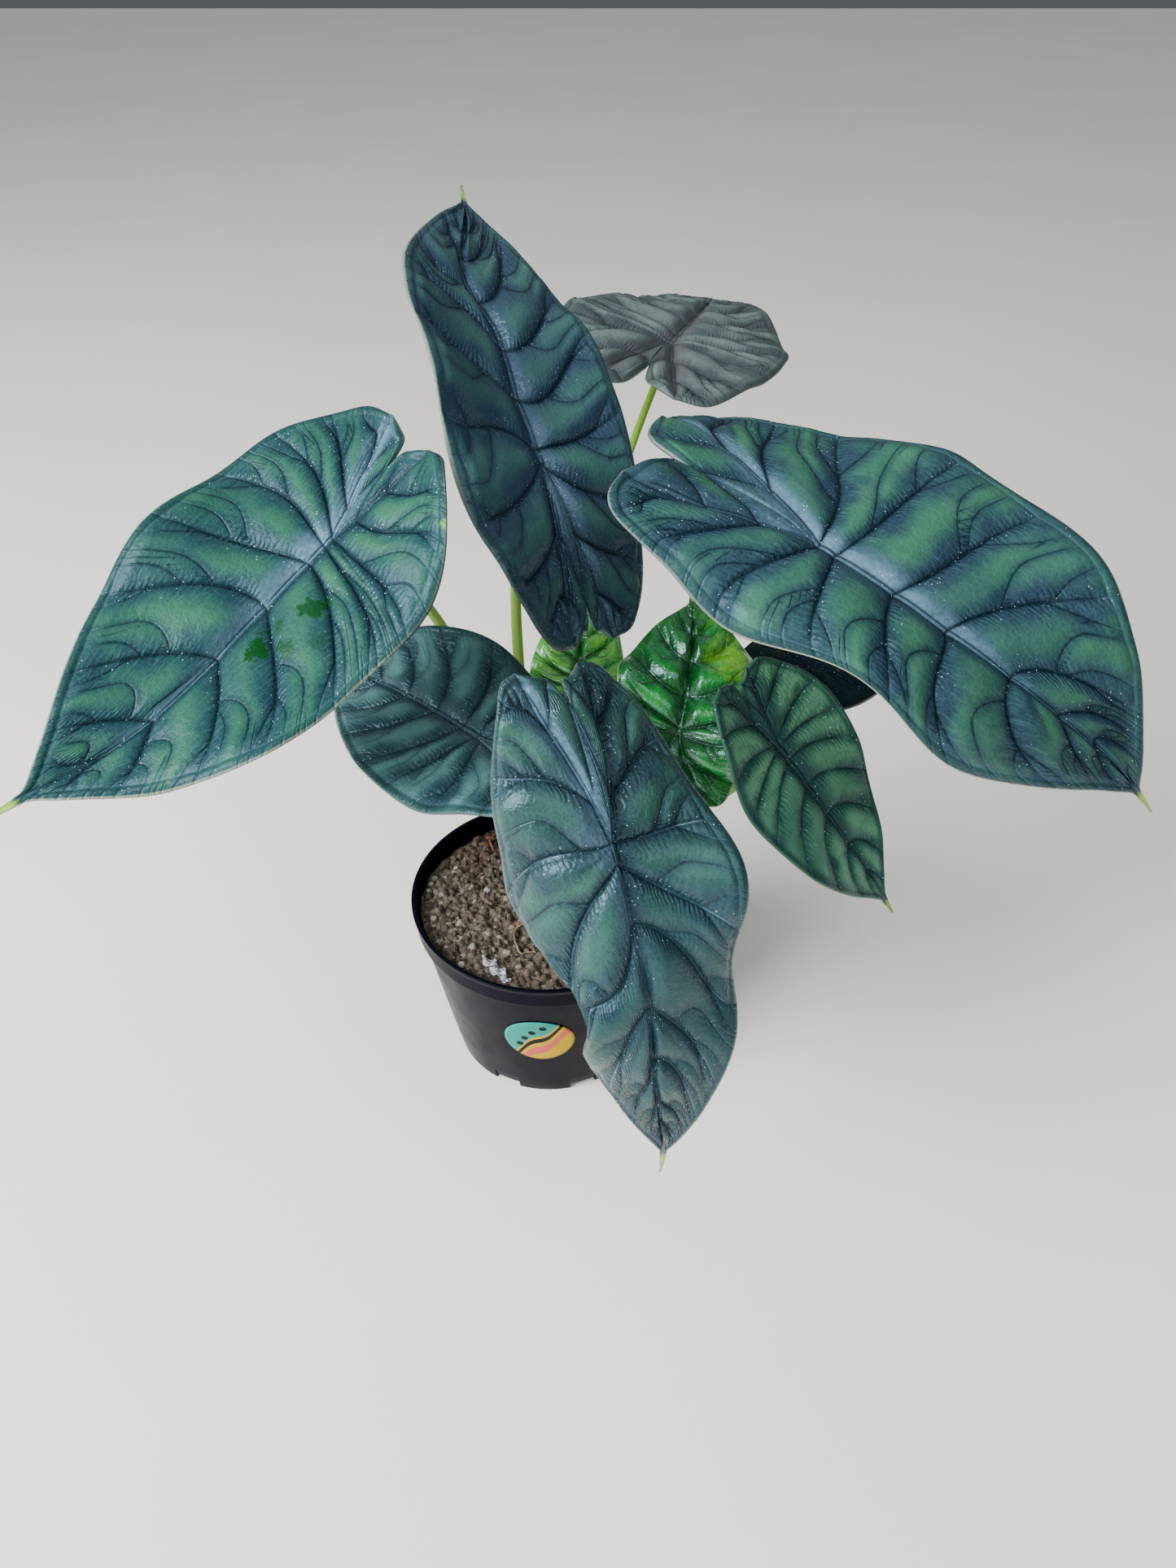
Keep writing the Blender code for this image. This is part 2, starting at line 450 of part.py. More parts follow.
def half_blade(leaf, side, rows, across, outside):
    """Flat points of a half's outer or inner patch, and their height above the leaf's sheet.

    Rows run along the veins of the patch, from the spine to the margin. Between two veins the
    blade swells by a share of their distance, as sine of the way from one vein to the next.
    """
    rib, outer, inner = half_outline(leaf, side)
    on_spine, on_margin = vein_places(leaf, side)

    def spine(v):
        return spine_point(leaf, side, rib, np.interp(v, VEIN, on_spine))

    def margin(v):
        if outside:
            return smooth_curve(outer, np.interp(v, VEIN, on_margin))
        return margin_point(leaf, inner, np.interp(v, VEIN[:4], ON_INNER))

    def chord_of(v, q):
        return bowed(leaf, side, v, q) if outside else v

    v, q = np.meshgrid(rows, across, indexing="ij")
    start, end = spine(chord_of(v, q)), margin(chord_of(v, q))
    chord = np.linalg.norm(end - start, axis=-1)
    flat = start + (end - start) * q[..., None]
    if outside:
        bow = VEIN_BOW * np.interp(v, (0, 1, 3, 5, 9, TIP_VEIN), (0, -0.6, 0, 1, 1, 0))
        flat[..., 1] -= bow * chord * 4 * q * (1 - q)
    first, last = rows.min(), min(rows.max(), TIP_VEIN)
    ahead, behind = (chord_of(np.clip(v + step, first, last), q) for step in (0.5, -0.5))
    pane = ((1 - q) * np.linalg.norm(spine(ahead) - spine(behind), axis=-1)
            + q * np.linalg.norm(margin(ahead) - margin(behind), axis=-1))
    swell = np.abs(np.sin(np.pi * np.clip(v, 0, TIP_VEIN))) ** 0.8
    edge = np.clip(q / 0.2, 0, 1) ** 0.7 * np.clip((1 - q) / 0.14, 0, 1) ** 0.7
    height = leaf["bulge"] * pane * swell * edge
    toward_tip = np.clip(np.interp(v, VEIN, on_spine) - 1, 0, 1)
    rib_under = RIB_HEIGHT * (1 - 0.8 * toward_tip) * np.clip(1 - q / 0.12, 0, 1)
    return [part.ravel() for part in (flat[..., 0], flat[..., 1], height, rib_under)]


def leaf_axes(leaf):
    """Directions of a leaf at its joint: toward the tip, to its right and off its upper face."""
    heading, pitch, roll = (math.radians(leaf[key]) for key in ("heading", "pitch", "roll"))
    forward = np.array((math.sin(heading) * math.cos(pitch), -math.cos(heading) * math.cos(pitch),
                        math.sin(pitch)))
    right = np.cross(forward, (0, 0, 1))
    right /= np.linalg.norm(right)
    right = right * math.cos(roll) + np.cross(right, forward) * math.sin(roll)
    return forward, right, np.cross(right, forward)


def bend(leaf, a, b, h):
    """Flat points to places in the room.

    The midrib turns evenly: down by droop and sideways by sweep from joint to tip, and its rear
    lobes hang. Across it each half starts at its fold and turns down by its arch. A twist that
    grows toward the tip and a long and a short wave of the margin are added.
    """
    forward, right, up = leaf_axes(leaf)
    length, lobe = leaf["length"], max(leaf["lobes"])
    along = np.linspace(-1.3 * lobe, 1.2 * length, 240)
    down = np.radians(np.where(along > 0, leaf["droop"] * along / length, leaf["hang"] * along / lobe))
    aside = np.radians(np.where(along > 0, leaf["sweep"] * along / length, 0))[:, None]
    ahead = np.cos(aside) * forward + np.sin(aside) * right
    beside = np.cos(aside) * right - np.sin(aside) * forward
    tangent = np.cos(down)[:, None] * ahead - np.sin(down)[:, None] * up
    normal = np.cross(beside, tangent)
    steps = 0.5 * (tangent[1:] + tangent[:-1]) * np.diff(along)[:, None]
    midrib = np.vstack([np.zeros(3), np.cumsum(steps, axis=0)])

    def read(values):
        return np.stack([np.interp(b, along, column) for column in values.T], -1)

    midrib -= [np.interp(0, along, column) for column in midrib.T]
    half = max(leaf["widths"])
    fold, arch = (np.radians(np.where(a > 0, leaf[key][1], leaf[key][0])) for key in ("fold", "arch"))
    bent = np.where(arch == 0, LEAST_ARCH, arch) / half
    slope = fold - bent * np.abs(a)
    wave = np.where(a > 0, np.transpose([leaf["wave_right"]]), np.transpose([leaf["wave_left"]]))
    turn = 2 * np.pi * 1.1 * b / length
    swing = (wave[0] * np.cos(turn) + wave[1] * np.sin(turn)
             + wave[2] * np.cos(2 * turn) + wave[3] * np.sin(2 * turn))
    swing *= np.clip(np.abs(a) / half, 0, 1.2) ** 1.8 * np.clip((1 - b / length) / 0.25, 0, 1)
    x = ((np.sin(fold) - np.sin(slope)) / bent - h * np.sin(slope)) * np.sign(a)
    z = (np.cos(slope) - np.cos(fold)) / bent + h * np.cos(slope) + swing
    twist = np.radians(leaf["twist"]) * b / length
    x, z = x * np.cos(twist) - z * np.sin(twist), x * np.sin(twist) + z * np.cos(twist)
    return np.array(leaf["joint"]) + read(midrib) + read(beside) * x[:, None] + read(normal) * z[:, None]


def build_blade(name, leaf):
    """A blade of one piece: two halves of two patches, with swollen panes and ribs underneath."""
    outer_rows = np.append(np.arange(0, TIP_VEIN + 0.1, 0.5), (11.0, 12.0))
    inner_rows = outer_rows[outer_rows <= LOBE_VEINS][::-1]
    flat, top, bottom, triangles = [], [], [], []
    for side in (0, 1):
        for rows, outside in ((outer_rows, True), (inner_rows, False)):
            a, b, height, rib = half_blade(leaf, side, rows, ACROSS, outside)
            a = a if side else -a
            patch = grid_triangles(len(rows), len(ACROSS))
            triangles.append((patch if side else patch[:, ::-1]) + sum(map(len, flat)))
            flat.append(np.stack([a, b], 1))
            top.append(bend(leaf, a, b, height))
            bottom.append(bend(leaf, a, b, height - BLADE_THICKNESS - rib))
    first, triangles = weld(np.vstack(flat), np.vstack(triangles))
    points, triangles = sheet_solid(np.vstack(top)[first], np.vstack(bottom)[first], triangles)
    paint = material(f"{name}_leaf", leaf["colour"], 0.35)
    return add_object(f"leaf_{name}_blade", points, triangles, paint)


def under_joint(leaf, blade, radius):
    """The stalk's end: just below the lowest spot of the blade within the stalk's radius."""
    forward, right, up = (Vector(axis) for axis in leaf_axes(leaf))
    joint = Vector(leaf["joint"])
    surface = BVHTree.FromPolygons(
        [vert.co for vert in blade.data.vertices], [face.vertices for face in blade.data.polygons])
    lowest = 0.0
    for turn in np.linspace(0, 2 * math.pi, 17):
        for share in (0.0, 0.5, 1.1):
            aside = (right * math.cos(turn) + forward * math.sin(turn)) * radius * share
            hit = surface.ray_cast(joint + aside - up * 0.02, up)[0]
            lowest = min(lowest, (hit - joint).dot(up)) if hit else lowest
    return joint + up * (lowest - GAP), up


def build_stalk(name, leaf, blade):
    """A tapered round stalk: upright in the crown, then one bow past its middle to the blade."""
    top_radius = 0.55 * leaf["stalk"]
    end, up = under_joint(leaf, blade, top_radius)
    foot = stalk_foot(leaf, name in YOUNG)
    base = foot + Vector((0, 0, SOIL_LEVEL - STALK_DEPTH))
    start = foot + Vector((0, 0, SOIL_LEVEL + CROWN_RISE + 0.004))
    neck = end - up * NECK
    reach = (neck - start).length
    arriving = (up + (neck - start).normalized()).normalized()
    low = start + Vector((0, 0, 0.35 * reach))
    high = neck - arriving * 0.22 * reach
    aside = Vector(leaf["middle"]) - (start + 3 * low + 3 * high + neck) / 8
    low += aside
    high += aside * 5 / 3
    path = [base]
    for t in np.linspace(0, 1, STALK_STEPS):
        path.append(start * (1 - t) ** 3 + low * 3 * t * (1 - t) ** 2 + high * 3 * t * t * (1 - t)
                    + neck * t ** 3)
    path.append(end)
    curve = bpy.data.curves.new(f"{name}_stalk", "CURVE")
    curve.dimensions = "3D"
    curve.bevel_depth = 1.0
    curve.bevel_resolution = 2
    curve.use_fill_caps = True
    line = curve.splines.new("POLY")
    line.points.add(len(path) - 1)
    for k, (point, place) in enumerate(zip(line.points, path)):
        point.co = (*place, 1)
        point.radius = leaf["stalk"] + (top_radius - leaf["stalk"]) * max(k - 1, 0) / (len(path) - 2)
    curve.materials.append(material(f"{name}_stalk", (0.22, 0.36, 0.10), 0.4))
    made = bpy.data.objects.new(f"leaf_{name}_stalk", curve)
    bpy.context.scene.collection.objects.link(made)


for old in list(bpy.data.objects):
    bpy.data.objects.remove(old, do_unlink=True)

build_pot()
build_label()
build_soil()
build_crown()
for name, leaf in LEAVES.items():
    build_stalk(name, leaf, build_blade(name, leaf))
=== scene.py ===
"""Potted dragon scale alocasia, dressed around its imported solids.

Metres, Z up, in the frame of the solids: the origin is the middle of the pot's foot and -Y is the
side with the label. Each piece is worked out as grids of points, and follows the solid it replaces.
"""
import math

import bpy
import numpy as np
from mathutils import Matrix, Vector


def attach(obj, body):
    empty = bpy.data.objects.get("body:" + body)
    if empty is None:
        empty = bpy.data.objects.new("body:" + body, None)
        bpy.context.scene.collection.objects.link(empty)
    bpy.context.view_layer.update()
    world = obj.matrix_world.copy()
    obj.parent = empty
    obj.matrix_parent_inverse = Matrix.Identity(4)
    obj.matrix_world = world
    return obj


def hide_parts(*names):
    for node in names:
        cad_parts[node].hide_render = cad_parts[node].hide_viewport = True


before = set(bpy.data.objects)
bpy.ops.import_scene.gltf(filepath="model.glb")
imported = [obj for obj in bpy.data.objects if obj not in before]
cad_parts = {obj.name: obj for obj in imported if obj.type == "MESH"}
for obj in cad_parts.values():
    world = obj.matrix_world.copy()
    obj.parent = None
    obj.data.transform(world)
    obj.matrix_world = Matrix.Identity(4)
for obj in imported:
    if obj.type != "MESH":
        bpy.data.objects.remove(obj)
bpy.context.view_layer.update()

# THE POT. A nursery pot of black polypropylene, injection moulded in one piece: a thin tapered
# wall with a satin skin, a deeper band at the rim with a rounded lip, and a notched foot ring
# round a raised bottom.
POT_HEIGHT = 0.119
RIM_RADIUS = 0.085
FOOT_RADIUS = 0.0635
WALL = 0.0016
BAND_FOOT = POT_HEIGHT - 0.0155
BAND_STEP = 0.0018
STEP_UNDER_BAND = 0.0022
FOOT_RING = 0.0022
LIP = 0.0019
LIP_ROUND = 0.0012
CORNER_ROUND = 0.0006
PLATE_UNDERSIDE = 0.0052
PLATE_TOP = 0.0072
PAD_RADIUS = 0.018
NOTCHES = 8
NOTCH_HALF = 0.0085 / FOOT_RADIUS
NOTCH_HEIGHT = 0.0047
NOTCH_TURN = math.radians(-25)


def grid_triangles(rows, columns):
    """Two triangles for each cell of a grid whose rows run forward and columns to the right."""
    i, j = np.meshgrid(np.arange(rows - 1), np.arange(columns - 1), indexing="ij")
    low = (i * columns + j).ravel()
    return np.vstack([np.stack([low, low + 1, low + columns + 1], 1),
                      np.stack([low, low + columns + 1, low + columns], 1)])


def weld(points, triangles, *marks):
    """Points at one place become one, and triangles that this closes up are left out.

    Marks are arrays with a row for each point, and keep the rows of the points that are kept.
    """
    _, first, same = np.unique(np.round(points, 7), axis=0, return_index=True, return_inverse=True)
    triangles = same.ravel()[triangles]
    a, b, c = triangles.T
    triangles = triangles[(a != b) & (b != c) & (c != a)]
    return (points[first], triangles, *(mark[first] for mark in marks))


def add_piece(name, points, triangles, finish, slot, node=None, sharp=None, **marks):
    """A piece from points and triangles that rides on the plant and stands for its solid.

    Marks are numbers kept on the points, which the finish reads by name: one a point, or three.
    """
    mesh = bpy.data.meshes.new(name)
    mesh.vertices.add(len(points))
    mesh.vertices.foreach_set("co", np.ascontiguousarray(points, np.float32).ravel())
    mesh.loops.add(3 * len(triangles))
    mesh.loops.foreach_set("vertex_index", np.ascontiguousarray(triangles, np.int32).ravel())
    mesh.polygons.add(len(triangles))
    mesh.polygons.foreach_set("loop_start", np.arange(0, 3 * len(triangles), 3, dtype=np.int32))
    mesh.update(calc_edges=True)
    for mark, values in marks.items():
        kind, field = ("FLOAT_VECTOR", "vector") if values.ndim == 2 else ("FLOAT", "value")
        kept = mesh.attributes.new(mark, kind, "POINT")
        kept.data.foreach_set(field, np.ascontiguousarray(values, np.float32).ravel())
    mesh.materials.append(finish)
    mesh.shade_smooth()
    if sharp:
        mesh.set_sharp_from_angle(angle=math.radians(sharp))
    made = bpy.data.objects.new(name, mesh)
    bpy.context.scene.collection.objects.link(made)
    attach(made, "root")
    if node:
        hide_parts(node)


class Finish:
    """A material made of nodes: Principled sockets by name, and the nodes that feed them."""

    def __init__(self, name, **constants):
        self.material = bpy.data.materials.new(name)
        self.material.use_nodes = True
        self.tree = self.material.node_tree
        self.shader = self.tree.nodes["Principled BSDF"]
        for socket, value in constants.items():
            self.shader.inputs[socket.replace("_", " ")].default_value = value

    def add(self, kind, inputs=(), **settings):
        """A node with its settings, its inputs set or linked by name or number."""
        node = self.tree.nodes.new(kind)
        for key, value in settings.items():
            setattr(node, key, value)
        for key, value in dict(inputs).items():
            self.feed(node.inputs[key], value)
        return node

    def feed(self, socket, value):
        """A socket takes a link from another socket, or a plain value."""
        if isinstance(value, bpy.types.NodeSocket):
            self.tree.links.new(value, socket)
        else:
            socket.default_value = value

    def set(self, name, value):
        """One of the shader's own sockets."""
        self.feed(self.shader.inputs[name], value)

    def maths(self, operation, a, b=0.0, c=0.0, clamp=False):
        """One step of arithmetic."""
        return self.add("ShaderNodeMath", {0: a, 1: b, 2: c}, operation=operation,
                        use_clamp=clamp).outputs[0]

    def times(self, *factors):
        """The product of all the factors."""
        product = factors[0]
        for factor in factors[1:]:
            product = self.maths("MULTIPLY", product, factor)
        return product

    def plus(self, value, other, share):
        """The value, and a share of another on top."""
        return self.maths("MULTIPLY_ADD", other, share, value)

    def most(self, a, b):
        """The greater of two values."""
        return self.maths("MAXIMUM", a, b)

    def step(self, value, low, high, to_low=0.0, to_high=1.0):
        """A smooth step of the value from low to high."""
        return self.add("ShaderNodeMapRange", {"Value": value, "From Min": low, "From Max": high,
                        "To Min": to_low, "To Max": to_high}, interpolation_type="SMOOTHSTEP").outputs[0]

    def bell(self, value, width):
        """exp(-(value / width)^2): 1 on a line and gone past twice the width."""
        square = self.maths("POWER", self.maths("DIVIDE", self.maths("ABSOLUTE", value), width), 2.0)
        return self.maths("EXPONENT", self.times(square, -1.0))

    def over(self, colour, tint, *shares):
        """A tint over the colour, by the product of its shares."""
        node = self.add("ShaderNodeMix", data_type="RGBA")
        for socket, value in zip((node.inputs[0], node.inputs[6], node.inputs[7]),
                                 (self.times(*shares), colour, tint)):
            self.feed(socket, (*value, 1.0) if isinstance(value, tuple) and len(value) == 3 else value)
        return node.outputs[2]

    def noise(self, scale, detail=3.0, where=None, rough=0.5):
        """Soft noise with features about 1 / scale metres across, from -1 to 1."""
        made = self.add("ShaderNodeTexNoise", {"Scale": scale, "Detail": detail, "Roughness": rough,
                        "Vector": where or self.place()})
        return self.ramp(made.outputs["Fac"], 0.3, 0.7, -1.0, 1.0)

    def ramp(self, value, low, high, to_low, to_high):
        """A straight ramp of the value, held at its ends."""
        return self.add("ShaderNodeMapRange", {"Value": value, "From Min": low, "From Max": high,
                        "To Min": to_low, "To Max": to_high}).outputs[0]

    def place(self):
        """Object coordinates."""
        return self.add("ShaderNodeTexCoord").outputs["Object"]

    def mark(self, name):
        """A mark kept on the points: its vector's three parts, and its single number last."""
        node = self.add("ShaderNodeAttribute", attribute_name=name)
        parts = self.add("ShaderNodeSeparateXYZ", {0: node.outputs["Vector"]}).outputs
        return parts[0], parts[1], parts[2], node.outputs["Fac"]

    def bump(self, height, distance, strength, under=None):
        """Relief of the given height in metres, on top of another bump."""
        inputs = {"Height": height, "Distance": distance, "Strength": strength}
        if under is not None:
            inputs["Normal"] = under
        return self.add("ShaderNodeBump", inputs).outputs[0]


def outer_wall(height):
    """Outer radius of the pot's wall below its band."""
    under_band = RIM_RADIUS - BAND_STEP - STEP_UNDER_BAND
    return FOOT_RADIUS + (under_band - FOOT_RADIUS) * height / BAND_FOOT


def inner_wall(height):
    """Inner radius of the pot, wider behind the band."""
    return np.interp(height, (PLATE_TOP, BAND_FOOT, POT_HEIGHT),
                     (outer_wall(PLATE_TOP) - WALL, outer_wall(BAND_FOOT) - WALL,
                      RIM_RADIUS - BAND_STEP - WALL * 0.4))


def round_off(profile, radius, steps=4):
    """A profile's corners turned into short arcs: each is a quadratic curve between two cuts."""
    profile = np.array(profile, float)
    before, corner, after = profile[:-2], profile[1:-1], profile[2:]
    reach = [np.minimum(radius, 0.45 * np.linalg.norm(other - corner, axis=1))[:, None]
             for other in (before, after)]
    start = corner + (before - corner) / np.linalg.norm(before - corner, axis=1)[:, None] * reach[0]
    end = corner + (after - corner) / np.linalg.norm(after - corner, axis=1)[:, None] * reach[1]
    t = np.linspace(0, 1, steps)[None, :, None]
    arcs = start[:, None] * (1 - t) ** 2 + 2 * corner[:, None] * t * (1 - t) + end[:, None] * t ** 2
    return np.vstack([profile[:1], arcs.reshape(-1, 2), profile[-1:]])


def pot_surface():
    """The profile turned about Z: r(k), z(k) round an angle. In a notch, no point is lower than it."""
    ring = FOOT_RADIUS - FOOT_RING
    lip = inner_wall(POT_HEIGHT)
    walls = np.linspace(0.012, BAND_FOOT - 0.004, 8)
    band = np.linspace(BAND_FOOT + 0.003, POT_HEIGHT - 0.005, 4)
    profile = round_off([
        (0, 0), (PAD_RADIUS, 0), (PAD_RADIUS, PLATE_UNDERSIDE), (ring, PLATE_UNDERSIDE), (ring, 0),
        (FOOT_RADIUS, 0), *zip(outer_wall(walls), walls), (outer_wall(BAND_FOOT), BAND_FOOT),
        (RIM_RADIUS - BAND_STEP, BAND_FOOT + 0.0003), *zip(RIM_RADIUS - BAND_STEP + 0 * band, band),
        (RIM_RADIUS - LIP_ROUND, POT_HEIGHT - LIP - 0.0009), (RIM_RADIUS, POT_HEIGHT - LIP),
        (RIM_RADIUS, POT_HEIGHT), (lip, POT_HEIGHT), (inner_wall(BAND_FOOT), BAND_FOOT),
        (inner_wall(PLATE_TOP), PLATE_TOP), (0, PLATE_TOP)], CORNER_ROUND)
    sector = 2 * math.pi / NOTCHES
    local = np.concatenate([np.linspace(-NOTCH_HALF, NOTCH_HALF, 9),
                            np.linspace(NOTCH_HALF + 0.0012, sector - NOTCH_HALF - 0.0012, 20)])
    notched = np.concatenate([np.ones(9), np.zeros(20)])
    turn = (NOTCH_TURN + sector * np.arange(NOTCHES)[:, None] + local).ravel()
    notched = np.tile(notched, NOTCHES)
    turn, notched = np.append(turn, turn[0] + 2 * math.pi), np.append(notched, notched[0])
    r, z = np.broadcast_to(profile[:, :1], (len(profile), len(turn))), profile[:, 1:] + 0 * turn
    in_foot = (r > FOOT_RADIUS - 0.006) & (z < NOTCH_HEIGHT)
    z = np.where(in_foot & (notched > 0), NOTCH_HEIGHT, z)
    points = np.stack([r * np.sin(turn), -r * np.cos(turn), z], 2).reshape(-1, 3)
    return weld(points, grid_triangles(*r.shape))


BLACK = (0.0008, 0.0008, 0.0052)
GRIME = (0.0035, 0.003, 0.009)
plastic = Finish("satin black plastic", Roughness=0.3, Specular_IOR_Level=0.06)
scuffs = plastic.noise(60.0, 4.0)
grime = plastic.noise(25.0, 5.0)
plastic.set("Base Color", plastic.over(BLACK, GRIME, plastic.step(grime, -0.2, 1.0, 0.0, 0.3)))
plastic.set("Roughness", plastic.ramp(scuffs, -1.0, 1.0, 0.26, 0.42))
plastic.set("Normal", plastic.bump(plastic.noise(1500.0, 2.0), 0.00002, 0.4,
                                   plastic.bump(plastic.noise(30.0, 1.0), 0.0004, 0.25)))
points, triangles = pot_surface()
add_piece("pot_moulded", points, triangles, plastic.material, "pot_plastic", "pot", sharp=50)

# THE LABEL. A round of printed vinyl stuck on the front of the wall. Its print is a plain design
# of slanted wavy bands in teal, yellow and pink, with a thin dark line and a row of dark dots.
LABEL_RADIUS = 0.0215
LABEL_HEIGHT = 0.0625
LABEL_TURN = math.radians(-3.5)
LABEL_THICKNESS = 0.0004
SKIN_GAP = 0.0003


def label_surface():
    """A round of radius and angle, wrapped on the wall: across runs round it and up along Z."""
    radius, turn = np.meshgrid(np.linspace(0, LABEL_RADIUS, 12), np.linspace(0, 2 * math.pi, 97),
                               indexing="ij")
    across, up = radius * np.cos(turn), radius * np.sin(turn)
    height = LABEL_HEIGHT + up
    angle = LABEL_TURN + across / outer_wall(LABEL_HEIGHT)
    sheets = []
    for lift in (LABEL_THICKNESS, 0.0):
        r = outer_wall(height) + SKIN_GAP + lift - np.where(radius > LABEL_RADIUS - 0.0001, lift * 0.3, 0)
        sheets.append(np.stack([r * np.sin(angle), -r * np.cos(angle), height], 2))
    grid = np.vstack([sheets[0], sheets[1][::-1]])
    flat = np.vstack([np.stack([across, up], 2), np.stack([across, up], 2)[::-1]])
    return weld(grid.reshape(-1, 3), grid_triangles(*grid.shape[:2])[:, ::-1], flat.reshape(-1, 2) * 1000)


YELLOW = (0.44, 0.29, 0.0)
TEAL = (0.012, 0.23, 0.19)
PINK = (0.50, 0.085, 0.07)
PRINT_BLACK = (0.006, 0.006, 0.007)
BANDS = ((5.1, TEAL), (-6.4, PINK), (-14.4, YELLOW))
SMUDGE = (0.3, 0.3, 0.3)
SOFT_EDGE = 0.3
LINE_MIDDLE = 0.6
LINE_HALF = 2.5
DOTS = ((-12.0, -4.5), (-8.6, 2.6), (-4.0, 9.2), (2.6, 14.6))

vinyl = Finish("printed vinyl", Roughness=0.4, Specular_IOR_Level=0.06)
across, up, _, _ = vinyl.mark("print")
wave = vinyl.maths("SINE", vinyl.times(across, 0.28))
slant = vinyl.maths("ADD", vinyl.plus(up, across, -1.1), vinyl.times(wave, 2.6))
print_colour = YELLOW
for start, ink in BANDS:
    past = vinyl.step(slant, start, start + math.copysign(SOFT_EDGE, start))
    print_colour = vinyl.over(print_colour, ink, past)
line = vinyl.maths("ABSOLUTE", vinyl.maths("ADD", slant, -LINE_MIDDLE))
print_colour = vinyl.over(print_colour, PRINT_BLACK, vinyl.step(line, LINE_HALF, LINE_HALF - SOFT_EDGE))
for right, higher in DOTS:
    beside, above = vinyl.maths("ADD", across, -right), vinyl.maths("ADD", up, -higher)
    far = vinyl.plus(vinyl.times(above, above), beside, beside)
    print_colour = vinyl.over(print_colour, PRINT_BLACK, vinyl.step(far, 5.6, 4.4))
smudge = vinyl.step(vinyl.noise(300.0), 0.0, 1.0, 0.0, 0.05)
vinyl.set("Base Color", vinyl.over(print_colour, SMUDGE, smudge))
vinyl.set("Normal", vinyl.bump(vinyl.noise(400.0, 2.0), 0.00005, 0.3))
points, triangles, flat = label_surface()
add_piece("label_printed", points, triangles, vinyl.material, "label_vinyl", "label",
          print=np.column_stack([flat, np.zeros(len(flat))]))

# THE SOIL. Dry potting mix, poured in and settled: fine crumbs of peat and bark with some pale
# pumice, heaped toward the front left. It starts as a round of domed crumbs. Loose crumbs, straws,
# bark chips, a papery flake and two dead roots lie on it.
SOIL_LEVEL = 0.107
SOIL_MOUND = 0.0035
SOIL_REACH = 0.076
SOIL_CELLS = 225
DOMES = 5200
CROWN_RADIUS = 0.0205


def soil_height(x, y):
    """Level, plus a mound toward the front left and two long swells."""
    mound = SOIL_MOUND * np.clip((-0.6 * x - 0.8 * y) / 0.07, -0.5, 1.0)
    return SOIL_LEVEL + mound + 0.0009 * (np.sin(310 * x + 1.0) * np.sin(270 * y + 2.0)
                                          + 0.6 * np.sin(520 * x - 410 * y))


def domed(x, y, chance, count, sizes, rise):
    """Height and number of the highest of many domes: each is the top of a ball at random."""
    spread = inner_wall(SOIL_LEVEL) * np.sqrt(chance.uniform(0, 1, count))
    turn = chance.uniform(0, 2 * math.pi, count)
    middle = np.stack([spread * np.cos(turn), spread * np.sin(turn)], 1)
    radius = chance.uniform(*sizes, count)
    base = chance.normal(0, 0.35, count) * radius
    best, owner = np.full(x.shape, -1.0), np.zeros(x.shape, int)
    for part in np.array_split(np.arange(x.size), 60):
        away = (x.ravel()[part, None] - middle[:, 0]) ** 2 + (y.ravel()[part, None] - middle[:, 1]) ** 2
        top = np.where(away < radius ** 2, base + rise * np.sqrt(np.maximum(radius ** 2 - away, 0)), -1)
        owner.ravel()[part] = top.argmax(1)
        best.ravel()[part] = top.max(1)
    return np.maximum(best, -0.0022), owner


def soil_surface():
    """A square grid pressed into a round, u sqrt(1 - v^2 / 2), with domes on top; then its side."""
    chance = np.random.default_rng(11)
    u, v = np.meshgrid(np.linspace(-1, 1, SOIL_CELLS + 1), np.linspace(-1, 1, SOIL_CELLS + 1))
    reach = inner_wall(SOIL_LEVEL) - SKIN_GAP
    x, y = u * np.sqrt(1 - v ** 2 / 2) * reach, v * np.sqrt(1 - u ** 2 / 2) * reach
    domes, owner = domed(x, y, chance, DOMES, (0.0009, 0.0023), 0.8)
    fade = np.clip((reach - np.hypot(x, y)) / 0.003, 0, 1)
    z = soil_height(x, y) + np.where(domes > -0.002, domes, -0.0012) * fade
    tone = chance.uniform(0, 1, DOMES)[owner]
    rim = np.concatenate([np.arange(SOIL_CELLS), SOIL_CELLS + (SOIL_CELLS + 1) * np.arange(SOIL_CELLS),
                          (SOIL_CELLS + 1) ** 2 - 1 - np.arange(SOIL_CELLS),
                          (SOIL_CELLS + 1) * (SOIL_CELLS - np.arange(SOIL_CELLS))])
    top = np.stack([x, y, z], 2).reshape(-1, 3)
    edge = top[np.append(rim, rim[0])]
    angle = np.arctan2(edge[:, 1], edge[:, 0])
    rows = [edge]
    for height in (BAND_FOOT, PLATE_TOP + SKIN_GAP):
        r = inner_wall(height) - SKIN_GAP
        rows.append(np.stack([r * np.cos(angle), r * np.sin(angle), np.full_like(angle, height)], 1))
    rows.append(np.tile((0, 0, PLATE_TOP + SKIN_GAP), (len(edge), 1)))
    side = np.vstack(rows)
    points = np.vstack([top, side])
    triangles = np.vstack([grid_triangles(SOIL_CELLS + 1, SOIL_CELLS + 1),
                           grid_triangles(4, len(edge))[:, ::-1] + len(top)])
    return weld(points, triangles, np.concatenate([tone.ravel(), np.full(len(side), 0.5)]))


GRIT = (0.07, 0.058, 0.048)
DRY_TAN = (0.16, 0.120, 0.086)
# Painted shade for the back of the soil.
BACK_SHADE = (0.045, 0.022, 0.014)
SOIL_DUST = (0.21, 0.19, 0.17)


